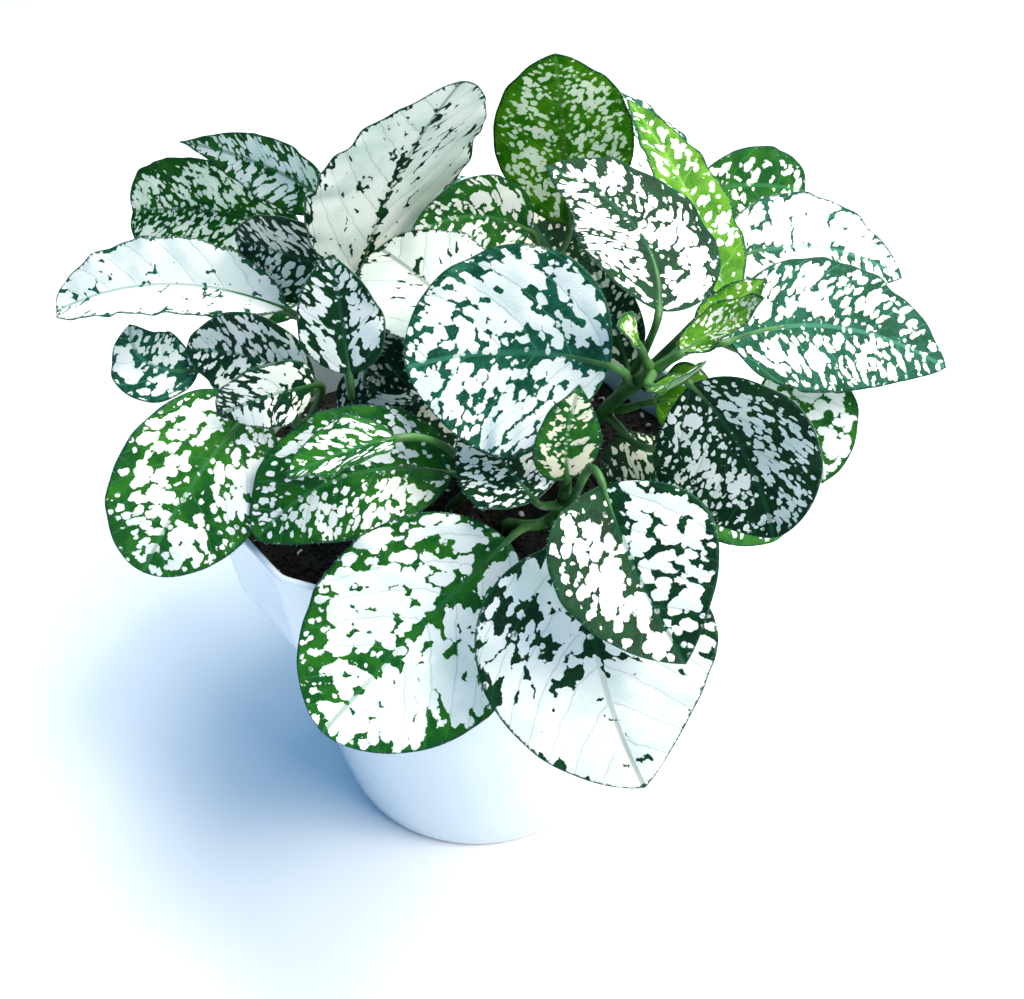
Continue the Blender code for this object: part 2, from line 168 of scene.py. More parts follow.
LEAVES: dict[str, tuple[Shape, Look]] = {
    "leaf_front_drop": (
        Shape("stem_front", 0.65, (24, -58, 120), (31, -84, 87), 40, -15, -2, 3, 10, 4, 0.31, 0.8),
        Look(Tone.DARK_SHADED, white=0.80, streak=1.1, spot=1.9, rib_green=0.7, edge_green=0.5, tip_white=1.3),
    ),
    "leaf_front_over_pot": (
        Shape("stem_front", 0.5, (10, -48, 112), (-25, -68, 86), 40, 26, -2, 1, -6, 8, 0.46, 0.58),
        Look(Tone.GRASS, white=0.79, streak=1.0, spot=2.1, rib_green=1.2, edge_green=0.8),
    ),
    "leaf_front_upper": (
        Shape("stem_front", 0.9, (26, -57, 131), (37, -80, 113), 29, -35, 0, 1, 0, 40, 0.33, 0.85),
        Look(Tone.DARK_SHADED, white=0.62, streak=1.1, spot=2.0, rib_green=1.0, edge_green=0.8),
    ),
    "leaf_front_inner": (
        Shape("stem_front", 0.85, (15, -49, 122), (3, -26, 122.5), 18.5, 10, -2, 1, -8, 2, 0.45, 0.7),
        Look(Tone.DARK_SHADED, white=0.72, streak=1.3, spot=1.3, rib_green=0.5, edge_green=0.4),
    ),
    "leaf_front_bud": (
        Shape("stem_front", 1.0, (21, -45, 123), (23, -47, 144), 12, -145, 0, -1, 8, 6, 0.38, 0.9),
        Look(Tone.GRASS, white=0.74, streak=1.6, spot=1.2, edge_green=1.2, cream=0.9),
    ),
    "leaf_front_side": (
        Shape("stem_front", 0.5, (33, -33, 102), (46, -13, 104), 23, -20, 1, 0, 10, 10, 0.45, 0.6),
        Look(Tone.DARK_SHADED, white=0.5, streak=1.4, spot=1.5, cream=0.6),
    ),
    "leaf_front_fill": (
        Shape("stem_front", 0.8, (29, -41, 110), (45, -49, 106), 18, -10, 2, 0, 10, 10, 0.45, 0.6),
        Look(Tone.DARK_SHADED, white=0.5, streak=1.4, spot=1.6, cream=0.3),
    ),
    "leaf_front_under": (
        Shape("stem_shoot", 0.15, (17, -13, 100), (0, -6, 98), 16, 0, 2, 0, 10, 10, 0.45, 0.6),
        Look(Tone.DARK_SHADED, white=0.5, streak=1.4, spot=1.6, cream=0.2),
    ),
    "leaf_middle_round": (
        Shape("stem_shoot", 0.9, (29, -36, 140), (-7, -24, 134), 38, 47, -2, 3, 4, 6, 0.42, 0.6),
        Look(Tone.TEAL, white=0.76, streak=1.0, spot=1.9, rib_green=1.3, edge_green=0.8),
    ),
    "leaf_middle_right": (
        Shape("stem_shoot", 0.9, (43, -37, 136), (57, -51, 112), 33, -60, -2, -2, 30, 0, 0.42, 0.66),
        Look(Tone.DARK_SHADED, white=0.52, streak=1.2, spot=1.3, rib_green=0.9, edge_green=0.8),
    ),
    "leaf_under_right": (
        Shape("stem_shoot", 0.6, (38, -30, 117), (65, -32, 96), 27, -50, 2, -4, 20, 10, 0.46, 0.55),
        Look(Tone.GRASS, white=0.5, streak=1.2, spot=1.8, rib_green=0.6, edge_green=1.2),
    ),
    "leaf_middle_top": (
        Shape("stem_shoot", 0.85, (39, -23.5, 143), (21, 5, 158), 28, -5, 0, 8, 2, 6, 0.41, 0.75),
        Look(Tone.DARK_SHADED, white=0.62, streak=1.4, spot=1.4, rib_green=1.1, edge_green=0.7),
    ),
    "leaf_shoot_right": (
        Shape("stem_shoot", 1.0, (42, -33, 140), (55, -33, 150), 11, 0, -2, -3, 12, 12, 0.4, 0.85),
        Look(Tone.LIME, white=0.6, streak=1.3, spot=0.9, cream=0.6),
    ),
    "leaf_shoot_left": (
        Shape("stem_shoot", 1.0, (34, -34, 143), (30, -38, 149), 6, 55, 0, 1, 10, 10),
        Look(Tone.LIME, white=0.6, streak=1.3, spot=0.9, cream=0.6),
    ),
    "leaf_shoot_back": (
        Shape("stem_shoot", 0.97, (46, -25, 138), (58, -20, 146), 9, -20, 0, 0, 10, 10, 0.42, 0.8),
        Look(Tone.LIME, white=0.5, streak=1.1, spot=1.1, cream=0.4),
    ),
    "leaf_shoot_front": (
        Shape("stem_shoot", 1.0, (36, -40, 138), (43, -47, 147), 9, 0, -1, 0, 8, 8, 0.45, 0.7),
        Look(Tone.LIME, white=0.45, streak=1.1, spot=1.0, cream=0.5),
    ),
    "leaf_shoot_inner": (
        Shape("stem_shoot", 0.66, (39, -26, 125), (49, -30, 127), 14, -40, 1, 0, 10, 10, 0.45, 0.6),
        Look(Tone.LIME, white=0.06, streak=1.1, spot=1.4, cream=0.2),
    ),
    "leaf_middle_shade": (
        Shape("stem_shoot", 0.7, (35, -18, 126), (29, 10, 138), 12, 25, -2, 0, 15, 15),
        Look(Tone.DARK_SHADED, white=0.4, streak=1.3, spot=1.6, cream=0.8),
    ),
    "leaf_right_long": (
        Shape("stem_right", 0.8, (54, -16, 131), (102, -4, 114), 27, -42, -1, -6, 12, -8, 0.42, 0.78),
        Look(Tone.TEAL, white=0.6, streak=1.5, spot=1.7, rib_green=1.1, edge_green=0.7),
    ),
    "leaf_right_pale": (
        Shape("stem_right", 1.0, (56, 5, 136), (97, 16, 124), 22, -46, 0, -5, 8, -6, 0.42, 0.8),
        Look(Tone.TEAL, white=0.93, streak=1.5, spot=1.6, rib_green=0.5, edge_green=0.7),
    ),
    "leaf_right_back": (
        Shape("stem_right", 0.85, (53, 22, 144), (79, 35, 136), 16, -65, 1, -1, 12, 12, 0.5, 0.5),
        Look(Tone.GRASS, white=0.55, streak=1.0, spot=2.4, rib_green=0.4, edge_green=1.2),
    ),
    "leaf_right_low": (
        Shape("stem_right", 0.7, (68, 4, 110), (79, -8, 88), 22, -35, 3, -2, 12, 12),
        Look(Tone.GRASS, white=0.8, streak=1.0, spot=2.4, rib_green=0.3, edge_green=1.6),
    ),
    "leaf_top_folded": (
        Shape("stem_right", 0.9, (54, -10, 136), (39, 31, 160), 15, -10, 0, 3, 14, 22),
        Look(Tone.LIME, white=0.55, streak=1.6, spot=1.9, rib_green=0.6, edge_green=0.9),
    ),
    "leaf_top_behind": (
        Shape("stem_right", 0.9, (55, 40, 129), (37, 62, 152), 30, -18, 2, -2, 4, 4),
        Look(Tone.TEAL, white=0.85, streak=1.2, spot=1.8, rib_green=0.4, edge_green=1.0),
    ),
    "leaf_top_big": (
        Shape("stem_crown", 1.0, (27, 33, 132), (24, 25, 172), 29.5, 165, -5, 0, 2, 4, 0.4, 0.66),
        # Lime greens and cream whites here partly paint light shining through the backlit blade.
        Look(
            Tone.LIME, white=0.32, streak=1.1, spot=1.35,
            rib_green=0.8, edge_green=1.1, cream=0.35, sheer=0.7,
        ),
    ),
    "leaf_top_curled": (
        Shape("stem_crown", 0.85, (18, 27, 134), (-7, 12, 141), 19, 60, 0, 4, 18, 40),
        Look(Tone.GRASS, white=0.5, streak=2.0, spot=1.6, rib_green=0.7, edge_green=1.1),
    ),
    "leaf_crown_pale": (
        Shape("stem_crown", 0.9, (9, -11, 128), (-13, 11, 140), 26.6, 18, 3, 0, 9, 9, 0.45, 0.56),
        # Its white is greyed as painted shade.
        Look(Tone.DARK_SHADED, white=0.97, streak=1.5, spot=1.5, rib_green=0.7, edge_green=0.9, shade=0.35),
    ),
    "leaf_crown_small": (
        Shape("stem_crown", 0.8, (0, -15, 120), (-14, 6, 126), 11, 20, 2, 0, 20, 20),
        Look(Tone.DARK_SHADED, white=0.6, streak=1.1, spot=1.6, cream=0.9),
    ),
    "leaf_crown_shade": (
        Shape("stem_crown", 0.8, (29, 28, 119), (17, 46, 131), 16, 8, 3, -2, 13, 13),
        Look(Tone.DARK_SHADED, white=0.4, streak=1.1, spot=2.2, cream=0.9),
    ),
    "leaf_left_upright": (
        Shape("stem_back_left", 1.0, (-18, 12, 134), (6, 2, 176), 41, -155, -4, 2, -2, -3, 0.46, 0.74),
        Look(Tone.DARK_SHADED, white=0.95, streak=1.5, spot=1.5, rib_green=1.3, edge_green=0.7, sheer=0.4),
    ),
    "leaf_left_pointed": (
        Shape("stem_rear", 1.0, (-25, 37, 138), (-63, 66, 142), 15, 70, -1, 2, 14, 16, 0.3, 1.15),
        Look(Tone.GRASS, white=0.8, streak=1.8, spot=1.6, rib_green=0.4, edge_green=0.6, sheer=0.45),
    ),
    "leaf_left_back": (
        Shape("stem_rear", 0.85, (-36, 54, 124), (-85, 85, 116), 27, 60, 1, 2, 26, 28, 0.46, 0.45),
        Look(
            Tone.GRASS, white=0.5, streak=1.0, spot=1.7,
            rib_green=0.5, edge_green=1.2, cream=0.2, sheer=0.6,
        ),
    ),
    "leaf_left_shade": (
        Shape("stem_back_left", 0.95, (-22, 20, 130), (-47, 34, 132), 21, 85, 1, 1, 18, 18),
        Look(Tone.DARK_SHADED, white=0.5, streak=1.6, spot=1.5, cream=0.4),
    ),
    "leaf_left_far": (
        Shape("stem_back_left", 0.8, (-36, 20, 122), (-90, 31, 118), 22, 25, 4, 4, 22, 34, 0.56, 0.5),
        Look(Tone.TEAL, white=0.97, streak=1.2, spot=1.8, rib_green=0.3, edge_green=0.7),
    ),
    "leaf_left_under": (
        Shape("stem_back_left", 0.7, (-36, 27, 116), (-70, 48, 110), 9, 40, 0, 1, 14, 14),
        Look(Tone.GRASS, white=0.7, streak=1.2, spot=1.8, cream=0.6),
    ),
    "leaf_left_standing": (
        Shape("stem_back_left", 0.9, (-18, -19, 130), (-19, -14, 152), 18, 25, -1, 0, 10, 14),
        Look(Tone.DARK_SHADED, white=0.68, streak=1.9, spot=1.6, rib_green=1.1, edge_green=0.5),
    ),
    "leaf_left_round": (
        Shape("stem_left", 0.9, (-56, 13, 112), (-73, 27, 116), 17, 30, 1, -5, 6, 6),
        Look(Tone.TEAL, white=0.78, streak=1.1, spot=1.9, rib_green=0.9, edge_green=0.9),
    ),
    "leaf_left_cream": (
        Shape("stem_left", 1.0, (-28, -3, 118), (-58, 15, 116), 20, 60, 1, 2, 18, 20),
        Look(Tone.DARK_SHADED, white=0.7, streak=1.3, spot=1.8, rib_green=0.4, edge_green=1.0, cream=0.3),
    ),
    "leaf_left_big": (
        Shape("stem_left", 1.0, (-38, -14, 121), (-61, -36, 98), 29, 42, 5, 1, 4, 20, 0.42, 0.6),
        Look(Tone.GRASS, white=0.52, streak=1.0, spot=2.0, rib_green=1.1, edge_green=1.1),
    ),
    "leaf_left_small": (
        Shape("stem_left", 0.85, (-25, -19, 128), (-43, -23, 125), 14, 90, 5, 4, 6, 8),
        Look(Tone.DARK_SHADED, white=0.75, streak=1.7, spot=1.3, rib_green=0.5, edge_green=0.4, cream=0.1),
    ),
    "leaf_left_fill": (
        Shape("stem_left", 0.55, (-24, -2, 109), (-7, 6, 112), 16, -20, 2, 0, 10, 10, 0.45, 0.6),
        Look(Tone.DARK_SHADED, white=0.62, streak=1.5, spot=1.4, rib_green=0.5, edge_green=0.4, cream=0.2),
    ),
    "leaf_low_large": (
        Shape("stem_low", 0.75, (0, -28, 112), (-38, -35, 104), 26.6, 35, 4, 5, 10, 30, 0.42, 0.7),
        Look(Tone.GRASS, white=0.46, streak=1.1, spot=1.45, rib_green=1.2, edge_green=1.1),
    ),
    "leaf_low_dark": (
        Shape("stem_low", 1.0, (-9, -36, 127), (-28, -42, 124), 16, -3, 1, 0, 16, 16),
        Look(Tone.GRASS, white=0.6, streak=1.9, spot=1.5, rib_green=0.6, edge_green=0.6),
    ),
    "leaf_low_small": (
        Shape("stem_low", 1.0, (-6, -4, 118), (-17, -11, 122), 9, 50, -2, 2, 8, 10),
        Look(Tone.DARK_SHADED, white=0.55, streak=1.3, spot=1.5, cream=0.5),
    ),
    "leaf_low_back": (
        Shape("stem_low", 0.55, (0, -12, 104), (-18, 8, 106), 20, 0, 2, 0, 10, 10, 0.45, 0.6),
        Look(Tone.DARK_SHADED, white=0.45, streak=1.3, spot=1.6, cream=0.5),
    ),
    "leaf_rear_1": (
        Shape("stem_rear", 0.9, (0, 62, 114), (-18, 98, 100), 28, 0, 5, 0, 12, 12),
        Look(Tone.TEAL, white=0.55, streak=1.2, spot=1.8),
    ),
    "leaf_rear_2": (
        Shape("stem_rear", 0.75, (12, 60, 110), (36, 92, 96), 28, 0, 5, 0, 12, 12),
        Look(Tone.TEAL, white=0.75, streak=1.2, spot=1.9),
    ),
    "leaf_rear_3": (
        Shape("stem_rear", 0.6, (-10, 50, 104), (-48, 72, 90), 28, 0, 6, 0, 12, 12),
        Look(Tone.GRASS, white=0.45, streak=1.1, spot=1.8),
    ),
    "leaf_rear_4": (
        Shape("stem_rear", 0.6, (18, 46, 106), (58, 64, 92), 28, 0, 6, 0, 12, 12),
        Look(Tone.GRASS, white=0.6, streak=1.3, spot=1.7),
    ),
    "leaf_rear_5": (
        Shape("stem_rear", 1.0, (-6, 56, 120), (4, 80, 123), 18, 0, 3, 0, 12, 12),
        Look(Tone.TEAL, white=0.8, streak=1.2, spot=1.8),
    ),
}


@dataclass(frozen=True)
class BladeSizes:
    """Sizes that all blades and stalks share, in millimetres; rows and columns are counts."""

    thickness: float = 0.42
    rim: float = 0.16
    stalk_width: float = 1.7
    stalk_clear: float = 0.8
    stalk_radius: float = 0.72
    stalk_flare: float = 0.30
    rib_radius: float = 0.66
    rib_depth: float = 0.28
    base_fullness: float = 0.55
    fold_round: float = 1.1
    vein_slant: float = 0.62
    vein_bend: float = 0.030
    quilt: float = 0.17
    swell: float = 0.8
    wave: float = 0.5
    long_wave: float = 11.0
    short_wave: float = 6.1
    rows: int = 84
    columns: int = 44
    stalk_sides: int = 12


BLADE = BladeSizes()


# ---- small helpers -------------------------------------------------------------------------
def unit(vectors: np.ndarray) -> np.ndarray:
    """Return the vectors at length one."""
    return vectors / np.maximum(np.linalg.norm(vectors, axis=-1, keepdims=True), 1e-9)


def smooth_noise(points: np.ndarray, scale: float, seed: float) -> np.ndarray:
    """Sample smooth noise at points.

    Args:
        points: array of places, one row each.
        scale: how many swells there are in a unit.
        seed: shift of the pattern.

    Returns:
        One number from about -1 to 1 for each point.
    """
    shift = Vector((seed * 7.3, seed * 3.1, seed * 5.7))
    return np.array([noise.noise(Vector(point) * scale + shift) for point in points])


def link_object(name: str, mesh: bpy.types.Mesh) -> bpy.types.Object:
    """Make an object of a mesh, at the origin.

    Args:
        name: the object's name.
        mesh: its mesh.

    Returns:
        The new object, in the scene.
    """
    obj = bpy.data.objects.new(name, mesh)
    bpy.context.scene.collection.objects.link(obj)
    return obj


def mesh_object(
    name: str,
    points: np.ndarray,
    faces: Sequence[Sequence[int]],
    materials: Sequence[bpy.types.Material],
    face_materials: Sequence[int] | None = None,
) -> bpy.types.Object:
    """Make a smooth mesh object with outward faces.

    Args:
        name: the piece's name.
        points: places in millimetres.
        faces: corners of each face.
        materials: the piece's materials.
        face_materials: index of each face's material, or None for the first.

    Returns:
        The new object, at the origin.
    """
    mesh = bpy.data.meshes.new(name)
    mesh.from_pydata((points * MM).tolist(), [], [list(face) for face in faces])
    for material in materials:
        mesh.materials.append(material)
    if face_materials is not None:
        mesh.polygons.foreach_set("material_index", list(face_materials))
    outward(mesh)
    mesh.shade_smooth()
    return link_object(name, mesh)


def outward(mesh: bpy.types.Mesh) -> None:
    """Turn a closed mesh's faces outwards.

    Args:
        mesh: the mesh, changed in place.
    """
    shell = bmesh.new()
    shell.from_mesh(mesh)
    bmesh.ops.recalc_face_normals(shell, faces=shell.faces)
    shell.to_mesh(mesh)
    shell.free()


def settle(piece: bpy.types.Object, nodes: Sequence[str]) -> None:
    """Fix a finished piece to the body, in place of its nodes.

    Args:
        piece: the finished object.
        nodes: nodes that it stands for; empty for an added piece.
    """
    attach(piece, BODY)
    if nodes:
        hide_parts(*nodes)
    LOG.info("%s: %d faces on %s", piece.name, len(piece.data.polygons), BODY)


def add_attribute(mesh: bpy.types.Mesh, name: str, values: np.ndarray) -> None:
    """Store a vector for each vertex."""
    layer = mesh.attributes.new(name, "FLOAT_VECTOR", "POINT")
    layer.data.foreach_set("vector", np.asarray(values, np.float32).ravel())


# ---- node graphs ---------------------------------------------------------------------------
class Net:
    """Short calls for adding nodes to a tree."""

    def __init__(self, tree: bpy.types.NodeTree, prefix: str = "ShaderNode") -> None:
        """Keep the tree, and the start of its nodes' class names."""
        self.tree, self.prefix = tree, prefix

    def node(self, kind: str, settings: dict | None = None, **inputs: object) -> bpy.types.Node:
        """Add a node.

        Args:
            kind: the node's class name, without the prefix.
            settings: the node's own properties.
            inputs: values or sockets for its inputs, by name with _ for a space, or i0, i1...

        Returns:
            The new node.
        """
        node = self.tree.nodes.new(self.prefix + kind)
        for key, value in (settings or {}).items():
            setattr(node, key, value)
        for key, value in inputs.items():
            numbered = key[0] == "i" and key[1:].isdigit()
            socket = node.inputs[int(key[1:])] if numbered else node.inputs[key.replace("_", " ")]
            self.put(socket, value)
        return node

    def put(self, socket: bpy.types.NodeSocket, value: object) -> None:
        """Set a socket to a value, or link it to another socket.

        Args:
            socket: the input.
            value: a number, a colour, a vector or an output socket.
        """
        if isinstance(value, bpy.types.NodeSocket):
            self.tree.links.new(value, socket)
        elif isinstance(value, tuple) and len(value) == 3 and socket.type == "RGBA":
            socket.default_value = (*value, 1.0)
        else:
            socket.default_value = value


class Graph(Net):
    """Short calls for building a material's node tree."""

    def __init__(self, name: str) -> None:
        """Start a material with a Principled shader and its output.

        Args:
            name: the material's name.
        """
        self.material = bpy.data.materials.new(name)
        self.material.use_nodes = True
        super().__init__(self.material.node_tree)
        self.shader = self.tree.nodes["Principled BSDF"]
        self.output = self.tree.nodes["Material Output"]

    def math(self, operation: str, first: object, second: object = 0.0, third: object = 0.0) -> Socket:
        """Return a Math node's result."""
        node = self.node("Math", {"operation": operation}, i0=first, i1=second, i2=third)
        return node.outputs[0]

    def ramp(
        self, value: object, low: float, high: float, at_low: float = 0.0, at_high: float = 1.0
    ) -> Socket:
        """Ease a value between two ends.

        Args:
            value: the socket that is read.
            low: where the easing starts.
            high: where it stops.
            at_low: the result at low and below.
            at_high: the result at high and above.

        Returns:
            The eased value.
        """
        node = self.node(
            "MapRange", {"interpolation_type": "SMOOTHSTEP"},
            i0=value, i1=low, i2=high, i3=at_low, i4=at_high,
        )
        return node.outputs[0]

    def mix(self, share: object, first: object, second: object) -> Socket:
        """Return the mix of two colours."""
        node = self.node("Mix", {"data_type": "RGBA"}, i0=share, i6=first, i7=second)
        return node.outputs[2]

    def stretch(self, vector: object, sizes: Place) -> Socket:
        """Return a vector multiplied by three sizes."""
        node = self.node("VectorMath", {"operation": "MULTIPLY"}, i0=vector, i1=sizes)
        return node.outputs[0]

    def noise(self, vector: object, scale: float, detail: float = 2.0, roughness: float = 0.5) -> Socket:
        """Return a noise texture's value, centred on a half."""
        node = self.node("TexNoise", None, Vector=vector, Scale=scale, Detail=detail, Roughness=roughness)
        return node.outputs["Fac"]

    def place(self) -> Socket:
        """Return the place on the object."""
        return self.node("TexCoord").outputs["Object"]

    def stored(self, name: str) -> Socket:
        """Return a vector stored on the vertices."""
        return self.node("Attribute", {"attribute_name": name}).outputs["Vector"]

    def stored_parts(self, name: str) -> bpy.types.NodeOutputs:
        """Return the three parts of a vector stored on the vertices."""
        return self.node("SeparateXYZ", None, i0=self.stored(name)).outputs

    def bump(self, height: object, distance: float, strength: float = 1.0) -> Socket:
        """Return normals raised by a height."""
        node = self.node("Bump", None, Height=height, Distance=distance, Strength=strength)
        return node.outputs["Normal"]

    def finish(
        self, color: object, roughness: object, normal: object | None = None, **shader: object
    ) -> bpy.types.Material:
        """Wire the Principled shader.

        Args:
            color: the base colour.
            roughness: the roughness.
            normal: the bumped normals, or None for the plain ones.
            shader: constants for the shader's other inputs, by name with _ for a space.

        Returns:
            The finished material.
        """
        self.put(self.shader.inputs["Base Color"], color)
        self.put(self.shader.inputs["Roughness"], roughness)
        if normal is not None:
            self.put(self.shader.inputs["Normal"], normal)
        for key, value in shader.items():
            self.put(self.shader.inputs[key.replace("_", " ")], value)
        return self.material


@dataclass(frozen=True)
class LeafFinish:
    """Blade surface: white splashes drawn out along the side veins, on green.

    Splashes are where a field of cells, spots and swells is above nought.  The lengths that
    its scales and zones use are millimetres on the flat blade.
    """

    spread: float = 0.105
    crisp: float = 0.014
    vein_pitch: float = 7.0
    white: Color = (0.96, 0.97, 0.94)
    # Greyer white: mixed in as random patches, and as painted shade by a leaf's shade share.
    white_shade: Color = (0.72, 0.82, 0.76)
    # Cream white: partly real, partly painted light through backlit blades and painted shade.
    cream: Color = (0.88, 0.82, 0.60)
    margin: Color = (0.010, 0.085, 0.045)
    pale_back: Color = (0.34, 0.50, 0.33)

    def bias(self, share: float) -> float:
        """Return the shift of the field that leaves this share of white."""
        share = min(max(share, 0.02), 0.985)
        return math.log(share / (1.0 - share)) / 1.7 * self.spread

    def splash_field(
        self, g: Graph, look: Look, flat: Socket, nibbles: Socket, zones: bpy.types.NodeOutputs
    ) -> Socket:
        """Make the field that is above nought where the blade is white.

        Args:
            g: the material's graph.
            look: the leaf's splashes.
            flat: place on the flat blade.
            nibbles: fine noise.
            zones: distance from the edge, distance from the rib, share of the length.

        Returns:
            The field's value.
        """
        edge, rib, along = zones
        shake = g.node("TexNoise", None, Vector=flat, Scale=0.55, Detail=2.0).outputs["Color"]
        share = min(0.30 + 0.75 * (look.streak - 1.0), 1.0)
        drawn = g.node("Mix", {"data_type": "VECTOR"}, i0=share, i4=flat, i5=g.stored("vein_mm")).outputs[1]
        shaken = {"operation": "MULTIPLY_ADD"}
        drawn = g.node("VectorMath", shaken, i0=shake, i1=(1.5, 1.5, 0.0), i2=drawn).outputs[0]
        drawn = g.stretch(drawn, (1.0 / look.spot, 1.0 / (look.spot * look.streak**0.5), 1.0))
        soft = {"feature": "SMOOTH_F1"}
        cell = g.node("TexVoronoi", soft, Vector=drawn, Scale=0.95, Smoothness=0.22).outputs["Distance"]
        spots = g.noise(drawn, 0.72, 1.0, 0.5)
        swells = g.noise(flat, 0.13, 1.0, 0.5)
        parts = [
            g.math("MULTIPLY_ADD", spots, 0.38, -0.19),
            g.math("MULTIPLY_ADD", swells, 0.58, -0.29),
            g.math("MULTIPLY_ADD", nibbles, 0.15, -0.075 + self.bias(look.white)),
            g.math("MULTIPLY_ADD", cell, -0.60, 0.60 * 0.45),
        ]
        value = g.math("ADD", g.math("ADD", parts[0], parts[1]), g.math("ADD", parts[2], parts[3]))
        near_rib = g.math("MULTIPLY", g.ramp(rib, 0.2, 2.6, 0.19, 0.0), g.ramp(along, 0.25, 0.95, 1.0, 0.15))
        middle = g.math("MULTIPLY", g.ramp(edge, 1.5, 5.0), g.ramp(rib, 1.0, 5.0))
        for zone, weight in (
            (near_rib, -look.rib_green),
            (g.ramp(edge, 0.2, 2.3, 0.17, 0.0), -look.edge_green),
            (middle, 0.05),
            (g.ramp(along, 0.35, 0.75, 0.0, 0.16), look.tip_white),
        ):
            value = g.math("MULTIPLY_ADD", zone, weight, value)
        return value

    def splashes(self, g: Graph, value: Socket, flat: Socket, nibbles: Socket) -> Socket:
        """Make the splashes, and small dots beside them.

        Args:
            g: the material's graph.
            value: the field.
            flat: place on the flat blade.
            nibbles: fine noise.

        Returns:
            One on white and nought on green.
        """
        dots = g.node("TexVoronoi", {"feature": "F1"}, Vector=flat, Scale=0.52, Randomness=1.0)
        chance = g.node("SeparateXYZ", None, i0=dots.outputs["Color"]).outputs[0]
        size = g.math("MULTIPLY_ADD", nibbles, 0.36, 0.10)
        inside = g.math("LESS_THAN", dots.outputs["Distance"], size)
        dot = g.math("MULTIPLY", inside, g.math("GREATER_THAN", chance, 0.32))
        beside = g.math("MULTIPLY", dot, g.ramp(value, -0.38, -0.14))
        return g.math("MAXIMUM", g.ramp(value, -self.crisp, self.crisp), beside)

    def veins(self, g: Graph, flat: Socket, rib: Socket) -> tuple[Socket, Socket, Socket]:
        """Make the lines of the veins.

        Args:
            g: the material's graph.
            flat: place on the flat blade.
            rib: distance from the midrib.

        Returns:
            The side veins, the midrib, and all lines with the fine net between them.
        """
        wobble = g.math("MULTIPLY_ADD", g.noise(flat, 0.35, 1.0), 1.6, -0.8)
        path = g.math("ADD", g.stored_parts("vein_mm")[0], wobble)
        side_vein = g.ramp(g.math("PINGPONG", path, self.vein_pitch / 2.0), 0.10, 0.34, 1.0, 0.0)
        fine = g.node("TexVoronoi", {"feature": "DISTANCE_TO_EDGE"}, Vector=flat, Scale=0.62)
        net = g.ramp(fine.outputs["Distance"], 0.02, 0.07, 0.22, 0.0)
        mid_vein = g.ramp(rib, 0.25, 0.62, 1.0, 0.0)
        lines = g.math("MAXIMUM", g.math("MULTIPLY", side_vein, 0.75), net)
        return side_vein, mid_vein, g.math("MAXIMUM", lines, mid_vein)

    def material(self, name: str, look: Look) -> bpy.types.Material:
        """Build one leaf's material.

        Args:
            name: the material's name.
            look: the leaf's splashes.

        Returns:
            The material, which reads the vectors stored on the blade.
        """
        g = Graph(name)
        # The darkest greens carry painted shade, the lime ones partly painted light shining through the
        # blade.
        greens = GREENS[look.tone]
        flat, zones = g.stored("leaf_mm"), g.stored_parts("zones")
        edge, rib = zones[0], zones[1]
        nibbles = g.noise(flat, 1.6, 1.5, 0.55)
        white = self.splashes(g, self.splash_field(g, look, flat, nibbles, zones), flat, nibbles)
        side_vein, mid_vein, lines = self.veins(g, flat, rib)

        green = g.mix(g.ramp(g.noise(flat, 0.22, 2.0, 0.5), 0.40, 0.62), greens.main, greens.other)
        green = g.mix(g.ramp(g.noise(flat, 1.3, 2.0, 0.6), 0.45, 0.75, 0.0, 0.22), green, greens.vein)
        green = g.mix(g.math("MULTIPLY", lines, 0.70), green, greens.vein)
        drift = g.ramp(g.noise(flat, 0.12, 2.0, 0.5), 0.42, 0.62, 0.0, 0.55)
        pale = g.mix(drift, self.white, self.white_shade)
        # Cream tint: partly real, partly painted light through backlit blades and painted shade on shaded
        # leaves.
        pale = g.mix(look.cream * 0.8, pale, self.cream)
        # Painted shade: the white is greyed by the leaf's shade share.
        pale = g.mix(look.shade, pale, self.white_shade)
        faint = g.math("MAXIMUM", g.math("MULTIPLY", side_vein, 0.20), g.math("MULTIPLY", mid_vein, 0.50))
        pale = g.mix(faint, pale, greens.vein)

        color = g.mix(white, green, pale)
        rim_width = g.math("MULTIPLY_ADD", nibbles, 1.5, -0.40)
        rim = g.ramp(g.math("SUBTRACT", edge, rim_width), -0.05, 0.12, 0.9, 0.0)
        color = g.mix(rim, color, self.margin)
        underside = g.stored_parts("faces")[0]
        color = g.mix(g.math("MULTIPLY", underside, 0.55), color, self.pale_back)

        cells = g.noise(flat, 3.4, 2.0, 0.6)
        swell = g.math("MULTIPLY_ADD", lines, -0.30, g.math("MULTIPLY", cells, 0.60))
        normal = g.bump(swell, 0.00022, 0.8)
        g.finish(color, g.ramp(cells, 0.3, 0.7, 0.48, 0.64), normal, IOR=1.33)
        sheer = g.node("BsdfTranslucent", None, Color=color, Normal=normal)
        blend = g.node("MixShader", None, i0=look.sheer, i1=g.shader.outputs[0], i2=sheer.outputs[0])
        g.put(g.output.inputs["Surface"], blend.outputs[0])
        return g.material


